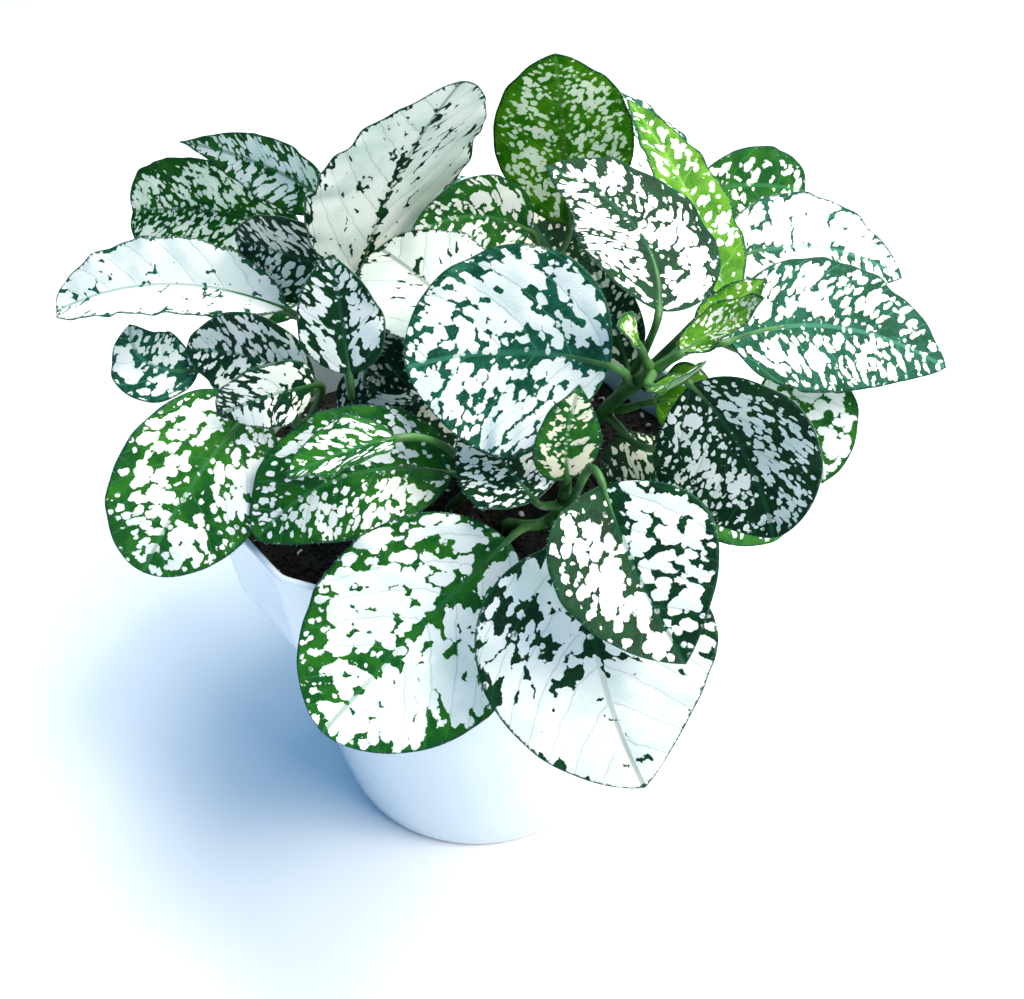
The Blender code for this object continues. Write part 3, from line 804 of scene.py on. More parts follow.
@dataclass(frozen=True)
class StemFinish:
    """Green of stems and stalks, paler in patches and ribbed lengthwise."""

    green: Color = (0.018, 0.090, 0.020)
    pale: Color = (0.070, 0.190, 0.050)
    blush: Color = (0.045, 0.060, 0.025)

    def material(self, name: str) -> bpy.types.Material:
        """Build the material.

        Args:
            name: the material's name.

        Returns:
            The stem material.
        """
        g = Graph(name)
        place = g.place()
        broad = g.noise(place, 90.0, 3.0, 0.55)
        fine = g.noise(g.stretch(place, (1.0, 1.0, 0.25)), 1400.0, 3.0, 0.6)
        color = g.mix(g.ramp(broad, 0.38, 0.64), self.green, self.pale)
        color = g.mix(g.ramp(g.noise(place, 160.0, 2.0), 0.55, 0.75, 0.0, 0.45), color, self.blush)
        color = g.mix(g.ramp(fine, 0.45, 0.75, 0.0, 0.3), color, self.pale)
        normal = g.bump(fine, 0.00015, 0.7)
        return g.finish(color, g.ramp(fine, 0.3, 0.7, 0.42, 0.6), normal)


@dataclass(frozen=True)
class SoilFinish:
    """Nearly black potting soil with paler fibres: dark soil made darker still as painted shade from the
    leaves above.
    """

    # Dark soil, darkened further as painted shade.
    dark: Color = (0.004, 0.004, 0.003)
    brown: Color = (0.020, 0.015, 0.010)
    fibre: Color = (0.070, 0.050, 0.030)

    def material(self, name: str) -> bpy.types.Material:
        """Build the material.

        Args:
            name: the material's name.

        Returns:
            The soil material.
        """
        g = Graph(name)
        place = g.place()
        clumps = g.noise(place, 260.0, 4.0, 0.6)
        grit = g.noise(place, 1500.0, 3.0, 0.65)
        color = g.mix(g.ramp(clumps, 0.36, 0.70), self.dark, self.brown)
        color = g.mix(g.ramp(grit, 0.58, 0.72, 0.0, 0.7), color, self.fibre)
        normal = g.bump(g.math("ADD", clumps, grit), 0.0006, 0.9)
        return g.finish(color, g.ramp(grit, 0.3, 0.7, 0.7, 0.95), normal)


@dataclass(frozen=True)
class PerliteFinish:
    """Small pale grains among the soil."""

    bright: Color = (0.74, 0.72, 0.66)
    dusty: Color = (0.40, 0.35, 0.28)

    def material(self, name: str) -> bpy.types.Material:
        """Build the material.

        Args:
            name: the material's name.

        Returns:
            The grain material.
        """
        g = Graph(name)
        place = g.place()
        dust = g.noise(place, 900.0, 3.0, 0.6)
        color = g.mix(g.ramp(dust, 0.45, 0.65), self.bright, self.dusty)
        return g.finish(color, g.ramp(dust, 0.3, 0.7, 0.75, 0.95), g.bump(dust, 0.0003))


@dataclass(frozen=True)
class GlazeFinish:
    """White glaze, a little pooled in patches, over a faintly uneven body."""

    white: Color = (0.71, 0.77, 0.82)
    pooled: Color = (0.63, 0.71, 0.78)
    bisque: Color = (0.62, 0.58, 0.52)

    def material(self, name: str) -> bpy.types.Material:
        """Build the material.

        Args:
            name: the material's name.

        Returns:
            The glaze.
        """
        g = Graph(name)
        place = g.place()
        height = g.node("SeparateXYZ", None, i0=place).outputs[2]
        drift = g.noise(place, 28.0, 3.0, 0.5)
        specks = g.noise(place, 2600.0, 1.0)
        color = g.mix(g.ramp(drift, 0.35, 0.70, 0.0, 0.8), self.white, self.pooled)
        color = g.mix(g.ramp(specks, 0.74, 0.78, 0.0, 0.25), color, self.bisque)
        bare = g.ramp(g.math("MULTIPLY_ADD", drift, 0.0006, height), 0.0008, 0.0013, 0.85, 0.0)
        color = g.mix(bare, color, self.bisque)
        rough = g.math("MAXIMUM", g.ramp(drift, 0.3, 0.7, 0.07, 0.14), g.math("MULTIPLY", bare, 0.8))
        normal = g.bump(g.noise(place, 60.0, 2.0, 0.5), 0.0011, 0.35)
        return g.finish(color, rough, normal, IOR=1.5, Coat_Weight=0.5, Coat_Roughness=0.04)


@dataclass(frozen=True)
class HairFinish:
    """Pale hairs."""

    pale: Color = (0.80, 0.86, 0.76)
    root: Color = (0.36, 0.52, 0.34)

    def material(self, name: str) -> bpy.types.Material:
        """Build the material.

        Args:
            name: the material's name.

        Returns:
            The hair material.
        """
        g = Graph(name)
        place = g.place()
        shade = g.noise(place, 700.0, 2.0)
        return g.finish(g.mix(g.ramp(shade, 0.35, 0.65), self.pale, self.root), 0.45)


@dataclass(frozen=True)
class FloorFinish:
    """Plain pale floor."""

    shade: Color = (0.83, 0.85, 0.87)
    light: Color = (0.85, 0.865, 0.88)

    def material(self, name: str) -> bpy.types.Material:
        """Build the material.

        Args:
            name: the material's name.

        Returns:
            The floor material.
        """
        g = Graph(name)
        place = g.place()
        drift = g.noise(place, 6.0, 2.0)
        color = g.mix(g.ramp(drift, 0.3, 0.7), self.shade, self.light)
        return g.finish(color, 0.75)


# ---- leaves --------------------------------------------------------------------------------
class StemLine:
    """The smooth middle line of a stem."""

    def __init__(self, stem: Stem) -> None:
        """Keep the stem's points as arrays.

        Args:
            stem: the stem's points and radius.
        """
        self.start, self.bend, self.end = (np.array(point, float) for point in stem.path)
        self.handle = self.bend * 2.0 - (self.start + self.end) * 0.5
        self.foot_radius = stem.radius

    def point(self, share: float) -> np.ndarray:
        """Return the point at a share of the length."""
        rest = 1.0 - share
        return self.start * rest**2 + self.handle * 2.0 * share * rest + self.end * share**2

    def direction(self, share: float) -> np.ndarray:
        """Return the direction at a share of the length."""
        return unit((self.handle - self.start) * (1.0 - share) + (self.end - self.handle) * share)

    def radius(self, share: float) -> float:
        """Return the radius, which shrinks towards the top."""
        return self.foot_radius * (1.0 - 0.3 * share)


def band_faces(first: int, second: int, count: int) -> Faces:
    """Return quads that join two closed rings of points.

    Args:
        first: index of the first ring's first point.
        second: index of the second ring's.
        count: points in a ring.

    Returns:
        Corners of each quad.
    """
    return [[first + k, first + (k + 1) % count, second + (k + 1) % count, second + k] for k in range(count)]


def skin_faces(rings: int, count: int) -> Faces:
    """Return faces of a row of rings, closed by a face at each end.

    Args:
        rings: how many rings there are.
        count: points in a ring.

    Returns:
        Corners of each face.
    """
    faces = [quad for row in range(rings - 1) for quad in band_faces(row * count, (row + 1) * count, count)]
    faces.append(list(range(count)))
    faces.append([(rings - 1) * count + k for k in range(count)])
    return faces


def tube(
    centres: np.ndarray, radii: np.ndarray, sides: int, first_across: np.ndarray
) -> tuple[np.ndarray, Faces]:
    """Skin a round tube with closed ends.

    Args:
        centres: middle points, one row each.
        radii: radius at each of them.
        sides: faces round the tube.
        first_across: a direction that the rings keep to.

    Returns:
        The points and the faces.
    """
    headings = unit(np.gradient(centres, axis=0))
    across = unit(first_across - headings * (headings @ first_across)[:, None])
    upward = np.cross(across, headings)
    turn = np.arange(sides) / sides * FULL_TURN
    ring = np.cos(turn)[None, :, None] * across[:, None] + np.sin(turn)[None, :, None] * upward[:, None]
    points = (centres[:, None] + ring * radii[:, None, None]).reshape(-1, 3)
    return points, skin_faces(len(centres), sides)


@dataclass
class Leaf:
    """One leaf: a thin quilted blade, its midrib and its stalk."""

    name: str
    shape: Shape
    look: Look
    stem: StemLine
    seed: int
    finish: LeafFinish = field(default_factory=LeafFinish)

    def __post_init__(self) -> None:
        """Work out the blade's own directions and its middle line."""
        self.base = np.array(self.shape.base, float)
        self.tip = np.array(self.shape.tip, float)
        along = unit(self.tip - self.base)
        level = unit(np.cross(along, (0.0, 0.0, 1.0)))
        upright = np.cross(level, along)
        turn = math.radians(self.shape.roll)
        self.across = level * math.cos(turn) + upright * math.sin(turn)
        out = upright * math.cos(turn) - level * math.sin(turn)
        bend = out * 2.0 * self.shape.arch + self.across * 2.0 * self.shape.sway
        self.handle = (self.base + self.tip) * 0.5 + bend
        steps = self.midrib(np.linspace(0.0, 1.0, 60))[0]
        self.length = float(np.linalg.norm(np.diff(steps, axis=0), axis=1).sum())

    def midrib(self, share: np.ndarray) -> tuple[np.ndarray, np.ndarray]:
        """Find the middle line.

        Args:
            share: shares of its length.

        Returns:
            Points and directions of the line there.
        """
        share = np.asarray(share, float)[:, None]
        rest = 1.0 - share
        points = self.base * rest**2 + self.handle * 2.0 * share * rest + self.tip * share**2
        return points, unit((self.handle - self.base) * rest + (self.tip - self.handle) * share)

    def half_width(self, share: np.ndarray) -> np.ndarray:
        """Find how wide the blade is.

        Args:
            share: shares of its length.

        Returns:
            The half width there, in millimetres.
        """
        inner = np.clip(share, 1e-6, 1.0 - 1e-6)
        rise = (inner / self.shape.widest) ** BLADE.base_fullness
        fall = ((1.0 - inner) / (1.0 - self.shape.widest)) ** self.shape.blunt
        least = np.where(inner < 0.5, BLADE.stalk_width / 2.0, BLADE.rim)
        return np.maximum(rise * fall * self.shape.width / 2.0, least)

    def lift(
        self, share: np.ndarray, side: np.ndarray, at_mm: np.ndarray, start_mm: np.ndarray
    ) -> np.ndarray:
        """Find how far the blade stands out from its fold: quilting, swells and wavy margins.

        Args:
            share: share of the length of each row.
            side: -1 to 1 across each row.
            at_mm: places on the flat blade.
            start_mm: where the side vein through each place starts.

        Returns:
            The height at each place.
        """
        reach, away = self.half_width(share)[:, None], np.abs(side)[None]
        phase = np.abs(((start_mm / self.finish.vein_pitch + 0.5) % 1.0) - 0.5) * 2.0
        fullness = np.minimum(1.0, reach / 7.0) * np.minimum(1.0, np.abs(at_mm[..., 1]) / 2.0)
        cushion = np.sin(phase * np.pi / 2.0) ** 1.2 - 0.5
        quilt = BLADE.quilt * fullness * cushion * (1.0 - 0.7 * away**3)
        swell_at = np.dstack([at_mm, np.full(start_mm.shape, float(self.seed))]).reshape(-1, 3)
        swell = smooth_noise(swell_at, 0.085, self.seed).reshape(start_mm.shape) * BLADE.swell * fullness
        turns = share * self.length * FULL_TURN
        waves = np.sin(turns / BLADE.long_wave + self.seed * 1.7)[:, None]
        waves = waves + 0.6 * np.sin((turns / BLADE.short_wave + self.seed * 2.9)[:, None] + side[None] * 2.0)
        envelope = np.sin(np.pi * np.clip(share, 0.0, 1.0))[:, None] ** 0.6
        return quilt + swell * 0.7 + BLADE.wave * waves * envelope * away**3

    def blade(self) -> tuple[np.ndarray, Faces, dict[str, np.ndarray]]:
        """Build the blade as a closed thin shell.

        Returns:
            The points, the faces, and the vectors stored on the vertices.
        """
        rows, columns = BLADE.rows, BLADE.columns
        even = np.linspace(0.0, 1.0, rows)
        share = 0.35 * even + 0.65 * (0.5 - 0.5 * np.cos(np.pi * even))
        side = np.linspace(-1.0, 1.0, columns)
        centre, heading = self.midrib(share)
        across = unit(self.across - heading * (heading @ self.across)[:, None])
        out = np.cross(across, heading)
        reach = self.half_width(share)
        grid_reach = np.abs(side)[None] * reach[:, None]
        x_mm = np.broadcast_to(share[:, None] * self.length, grid_reach.shape)
        y_mm = side[None] * reach[:, None]
        start_mm = x_mm - BLADE.vein_slant * grid_reach - BLADE.vein_bend * grid_reach**2

        fold = np.radians(np.where(side > 0.0, self.shape.fold_r, self.shape.fold_l))[None]
        slack = BLADE.fold_round * np.minimum(1.0, reach / 6.0)[:, None]
        soft_reach = np.sqrt(grid_reach**2 + slack**2) - slack
        sideways = y_mm * np.cos(fold)
        lift = soft_reach * np.sin(fold) + self.lift(share, side, np.dstack([x_mm, y_mm]), start_mm)

        middle = centre[:, None] + across[:, None] * sideways[..., None] + out[:, None] * lift[..., None]
        thin = BLADE.rim + (BLADE.thickness - BLADE.rim) * (1.0 - np.abs(side)[None] ** 6)
        normal = unit(np.cross(np.gradient(middle, axis=1), np.gradient(middle, axis=0)))
        half = (thin / 2.0)[..., None] * normal
        points = np.concatenate([(middle + half).reshape(-1, 3), (middle - half).reshape(-1, 3)])

        edge = (1.0 - np.abs(side))[None] * reach[:, None]
        edge = np.minimum(edge, ((1.0 - share) * self.length * 0.8)[:, None])
        seed_row = np.full(x_mm.size, self.seed * 13.7)
        stored = {
            "leaf_mm": np.stack([x_mm.ravel(), y_mm.ravel(), seed_row], axis=1),
            "vein_mm": np.stack([start_mm.ravel(), y_mm.ravel(), seed_row], axis=1),
            "zones": np.stack([edge.ravel(), grid_reach.ravel(), np.repeat(share, columns)], axis=1),
        }
        stored = {key: np.concatenate([values, values]) for key, values in stored.items()}
        flags = np.zeros((2 * x_mm.size, 3))
        flags[x_mm.size :, 0] = 1.0
        stored["faces"] = flags
        return points, shell_faces(rows, columns), stored

    def stalk(self) -> tuple[np.ndarray, Faces]:
        """Build the stalk and the rib that runs on under the blade.

        Returns:
            The points and the faces.
        """
        join = self.stem.point(self.shape.node)
        direction = self.stem.direction(self.shape.node)
        away = self.base - join
        slide = float(away @ direction)
        away = unit(away - direction * (min(slide, 0.0) if self.shape.node == 1.0 else slide))
        radius = self.stem.radius(self.shape.node)
        start = join + away * (radius + BLADE.stalk_clear)
        base_point, base_heading = (part[0] for part in self.midrib([0.0]))
        reach = float(np.linalg.norm(base_point - start))
        first, second = start + (base_point - start) * 0.35, base_point - base_heading * reach * 0.35
        along_stalk = np.linspace(0.0, 1.0, 22)
        share = along_stalk[:, None]
        rest = 1.0 - share
        curve = start * rest**3 + first * 3 * share * rest**2
        curve = curve + second * 3 * share**2 * rest + base_point * share**3
        inside = (join + away * radius * 0.4)[None]
        rib_share = np.linspace(0.0, 0.9, 40)[1:]
        rib, rib_heading = self.midrib(rib_share)
        rib_across = unit(self.across - rib_heading * (rib_heading @ self.across)[:, None])
        rib = rib - np.cross(rib_across, rib_heading) * BLADE.rib_depth
        centres = np.concatenate([inside, curve, rib])
        radii = BLADE.stalk_radius + BLADE.stalk_flare * (1.0 - along_stalk) ** 3
        radii = radii + 0.05 * np.sin(along_stalk * 9.0 + self.seed)
        rib_radii = BLADE.rib_radius * (1.0 - rib_share) ** 0.8 * (1.0 - 0.45 * rib_share) + 0.05
        radii = np.concatenate([[BLADE.stalk_radius + 0.33], radii, rib_radii])
        return tube(centres, radii, BLADE.stalk_sides, self.across)

    def build(self, stalk_green: bpy.types.Material) -> bpy.types.Object:
        """Make the leaf's object and dress it.

        Args:
            stalk_green: material of the stalk and the rib.

        Returns:
            The new object.
        """
        points, faces, stored = self.blade()
        stalk_points, stalk_faces = self.stalk()
        shift = len(points)
        indices = [0] * len(faces) + [1] * len(stalk_faces)
        faces = faces + [[corner + shift for corner in face] for face in stalk_faces]
        skin = self.finish.material("skin_" + self.name, self.look)
        obj = mesh_object(
            self.name + "_fine", np.concatenate([points, stalk_points]), faces, [skin, stalk_green], indices
        )
        for key, values in stored.items():
            add_attribute(obj.data, key, np.concatenate([values, np.zeros((len(stalk_points), 3))]))
        return obj

    def margin(self) -> np.ndarray:
        """Trace the blade's margin.

        Returns:
            Points from the base, round the tip and back.
        """
        points, _, _ = self.blade()
        top = points[: BLADE.rows * BLADE.columns].reshape(BLADE.rows, BLADE.columns, 3)
        return np.concatenate([top[3:, 0], top[::-1, -1][:-3]])


def shell_faces(rows: int, columns: int) -> Faces:
    """Return faces of two grids joined round their rim.

    Args:
        rows: rows of each grid.
        columns: points in a row.

    Returns:
        Corners of each face; the second grid's points follow the first's.
    """
    total = rows * columns
    faces: Faces = []
    for row in range(rows - 1):
        for column in range(columns - 1):
            a = row * columns + column
            faces.append([a, a + 1, a + columns + 1, a + columns])
            faces.append([total + a + columns, total + a + columns + 1, total + a + 1, total + a])
    rim = [(0, column) for column in range(columns)]
    rim += [(row, columns - 1) for row in range(1, rows)]
    rim += [(rows - 1, column) for column in range(columns - 2, -1, -1)]
    rim += [(row, 0) for row in range(rows - 2, 0, -1)]
    loop = [row * columns + column for row, column in rim]
    for here, following in zip(loop, loop[1:] + loop[:1]):
        faces.append([following, here, total + here, total + following])
    return faces


# ---- geometry nodes ------------------------------------------------------------------------
class GrowTree(Net):
    """Short calls for building a Geometry Nodes tree with named inputs."""

    def __init__(self, name: str, inputs: Sequence[tuple[str, str, float]]) -> None:
        """Start a tree with a geometry input and numbers.

        Args:
            name: the tree's name.
            inputs: name, socket kind and value of each number.
        """
        super().__init__(bpy.data.node_groups.new(name, "GeometryNodeTree"), "")
        face = self.tree.interface
        face.new_socket("Geometry", in_out="INPUT", socket_type="NodeSocketGeometry")
        for label, kind, value in inputs:
            socket = face.new_socket(label, in_out="INPUT", socket_type="NodeSocket" + kind)
            socket.default_value = int(value) if kind == "Int" else value
        face.new_socket("Geometry", in_out="OUTPUT", socket_type="NodeSocketGeometry")
        self.entry = self.tree.nodes.new("NodeGroupInput").outputs
        self.exit = self.tree.nodes.new("NodeGroupOutput")

    def chance(self, kind: str, least: object, most: object) -> Socket:
        """Return a random number or vector, with the tree's seed.

        Args:
            kind: FLOAT or FLOAT_VECTOR.
            least: the lower end, or a socket.
            most: the upper end.

        Returns:
            The random value.
        """
        node = self.node("FunctionNodeRandomValue", {"data_type": kind}, Seed=self.entry["Seed"])
        first = 0 if kind == "FLOAT_VECTOR" else 2
        self.put(node.inputs[first], least)
        self.put(node.inputs[first + 1], most)
        return node.outputs[0 if kind == "FLOAT_VECTOR" else 1]

    def finish(
        self, points: Socket, shape: Socket, turn: Socket, size: Socket, material: bpy.types.Material
    ) -> bpy.types.NodeTree:
        """Stand a shape on points, realize the instances and give them their material.

        Args:
            points: where the shapes stand.
            shape: the shape.
            turn: rotation of each.
            size: scale of each.
            material: their material.

        Returns:
            The finished tree.
        """
        stand = self.node(
            "GeometryNodeInstanceOnPoints", None, Points=points, Instance=shape, Rotation=turn, Scale=size
        )
        real = self.node("GeometryNodeRealizeInstances", None, Geometry=stand.outputs[0])
        dressed = self.node("GeometryNodeSetMaterial", None, Geometry=real.outputs[0], Material=material)
        self.tree.links.new(dressed.outputs[0], self.exit.inputs[0])
        return self.tree


@dataclass(frozen=True)
class HairTree:
    """Tree that stands thin cones along edges."""

    length: float
    radius: float

    def build(self, material: bpy.types.Material) -> bpy.types.NodeTree:
        """Build the tree: edges to curves, points on them, a thin cone on each point.

        Args:
            material: the hairs' material.

        Returns:
            The tree, with inputs Spacing and Seed.
        """
        t = GrowTree("hair_tree", [("Spacing", "Float", 0.001), ("Seed", "Int", 1)])
        curves = t.node("GeometryNodeMeshToCurve", None, Mesh=t.entry["Geometry"]).outputs[0]
        by_length = {"mode": "LENGTH"}
        places = t.node("GeometryNodeCurveToPoints", by_length, Curve=curves, Length=t.entry["Spacing"])
        cone = t.node(
            "GeometryNodeMeshCone", None,
            Vertices=3, Radius_Top=self.radius * 0.15, Radius_Bottom=self.radius, Depth=self.length,
        )
        spread = t.chance("FLOAT_VECTOR", (-1.0, -1.0, -0.35), (1.0, 1.0, 1.0))
        aim = t.node("FunctionNodeAlignRotationToVector", {"axis": "Z"}, Vector=spread)
        size = t.chance("FLOAT", 0.45, 1.1)
        return t.finish(places.outputs[0], cone.outputs[0], aim.outputs[0], size, material)


@dataclass(frozen=True)
class CrumbTree:
    """Tree that scatters lumps on a surface."""

    radius: float

    def build(self, name: str, material: bpy.types.Material) -> bpy.types.NodeTree:
        """Build the tree: points on the faces, a bent ball on each, turned and scaled.

        Args:
            name: the tree's name.
            material: the lumps' material.

        Returns:
            The tree, with inputs Density, Seed and Smallest.
        """
        t = GrowTree(name, [("Density", "Float", 1000.0), ("Seed", "Int", 1), ("Smallest", "Float", 0.4)])
        places = t.node(
            "GeometryNodeDistributePointsOnFaces", {"distribute_method": "RANDOM"},
            Mesh=t.entry["Geometry"], Density=t.entry["Density"], Seed=t.entry["Seed"],
        )
        ball = t.node("GeometryNodeMeshIcoSphere", None, Radius=self.radius, Subdivisions=1).outputs[0]
        shift = t.node("ShaderNodeTexNoise", None, Scale=0.9 / self.radius).outputs["Color"]
        less, longer = {"operation": "SUBTRACT"}, {"operation": "SCALE"}
        centred = t.node("ShaderNodeVectorMath", less, i0=shift, i1=(0.5, 0.5, 0.5)).outputs[0]
        bent = t.node("ShaderNodeVectorMath", longer, i0=centred, Scale=1.5 * self.radius).outputs[0]
        lump = t.node("GeometryNodeSetPosition", None, Geometry=ball, Offset=bent).outputs[0]
        turn = t.chance("FLOAT_VECTOR", (0.0, 0.0, 0.0), (6.28, 6.28, 6.28))
        size = t.chance("FLOAT_VECTOR", t.entry["Smallest"], (1.25, 1.0, 0.85))
        return t.finish(places.outputs[0], lump, turn, size, material)


def grow(
    host: bpy.types.Object, tree: bpy.types.NodeTree, values: dict[str, float], name: str
) -> bpy.types.Object:
    """Run a tree on an object and keep the result as a plain mesh.

    Args:
        host: object whose mesh the tree starts from.
        tree: the Geometry Nodes tree.
        values: inputs of the tree, by name.
        name: the new piece's name.

    Returns:
        The new object.
    """
    modifier = host.modifiers.new("grow", "NODES")
    modifier.node_group = tree
    keys = {item.name: item.identifier for item in tree.interface.items_tree if item.in_out == "INPUT"}
    for label, value in values.items():
        modifier[keys[label]] = value
    seen = host.evaluated_get(bpy.context.evaluated_depsgraph_get())
    mesh = bpy.data.meshes.new_from_object(seen)
    mesh.name = name
    host.modifiers.remove(modifier)
    mesh.shade_smooth()
    return link_object(name, mesh)


# ---- foliage -------------------------------------------------------------------------------
@dataclass
class Foliage:
    """All leaves, and the fine hairs on their margins."""

    leaves: dict[str, Leaf] = field(default_factory=dict)
    hair_length: float = 0.75
    hair_radius: float = 0.035
    hair_spacing: float = 1.05

    def build(self, stalk_green: bpy.types.Material) -> None:
        """Make every leaf on the node that it stands for.

        Args:
            stalk_green: material of the stalks.
        """
        for seed, (name, (shape, look)) in enumerate(LEAVES.items()):
            leaf = Leaf(name, shape, look, StemLine(STEMS[shape.stem]), seed + 1)
            self.leaves[name] = leaf
            obj = leaf.build(stalk_green)
            settle(obj, [name])
        self.build_hairs()

    def build_hairs(self) -> None:
        """Grow fine pale hairs outwards along every margin."""
        points: list[np.ndarray] = []
        edges: list[tuple[int, int]] = []
        start = 0
        for leaf in self.leaves.values():
            line = leaf.margin()
            points.append(line)
            edges += [(start + k, start + k + 1) for k in range(len(line) - 1)]
            start += len(line)
        mesh = bpy.data.meshes.new("margins")
        mesh.from_pydata((np.concatenate(points) * MM).tolist(), edges, [])
        margins = link_object("margins", mesh)
        hair = HairFinish().material("margin_hair")
        tree = HairTree(self.hair_length * MM, self.hair_radius * MM).build(hair)
        piece = grow(margins, tree, {"Spacing": self.hair_spacing * MM, "Seed": 7}, "margin_hairs")
        bpy.data.objects.remove(margins, do_unlink=True)
        settle(piece, [])


# ---- stems ---------------------------------------------------------------------------------
@dataclass
class Stems:
    """The branching stems, each swollen where its stalks leave."""

    steps: int = 70
    sides: int = 20
    slimness: float = 0.86
    joint_swell: float = 0.16
    joint_length: float = 2.2
    usual_length: float = 26.0
    root_depth: float = 2.5

    def build(self, green: bpy.types.Material) -> None:
        """Make every stem on its node.

        Args:
            green: the stems' material.
        """
        for name, stem in STEMS.items():
            line = StemLine(stem)
            shares = np.linspace(0.0, 1.0, self.steps)
            centres = np.array([line.point(share) for share in shares])
            radii = np.array([line.radius(share) * self.slimness for share in shares])
            nodes = {shape.node for shape, _ in LEAVES.values() if shape.stem == name}
            for node in sorted(nodes):
                away = (shares - node) * self.usual_length / self.joint_length
                radii = radii + self.joint_swell * np.exp(-(away**2))
            top = line.point(1.0) + line.direction(1.0) * line.radius(1.0) * np.array([[0.45], [0.8]])
            foot = line.start - np.array([0.0, 0.0, self.root_depth])
            centres = np.concatenate([foot[None], centres, top])
            radii = np.concatenate([[radii[0] * 1.08], radii, [radii[-1] * 0.8, radii[-1] * 0.4]])
            points, faces = tube(centres, radii, self.sides, np.array([1.0, 0.2, 0.0]))
            settle(mesh_object(name + "_fine", points, faces, [green]), [name])


# ---- pot and soil --------------------------------------------------------------------------
def ring_points(angles: np.ndarray, reach: np.ndarray, height: float) -> np.ndarray:
    """Return a level ring of points.

    Args:
        angles: direction of each, in radians.
        reach: distance of each from the axis.
        height: height of the ring.

    Returns:
        The points, one row each.
    """
    return np.stack([np.cos(angles) * reach, np.sin(angles) * reach, np.full(len(angles), height)], axis=1)


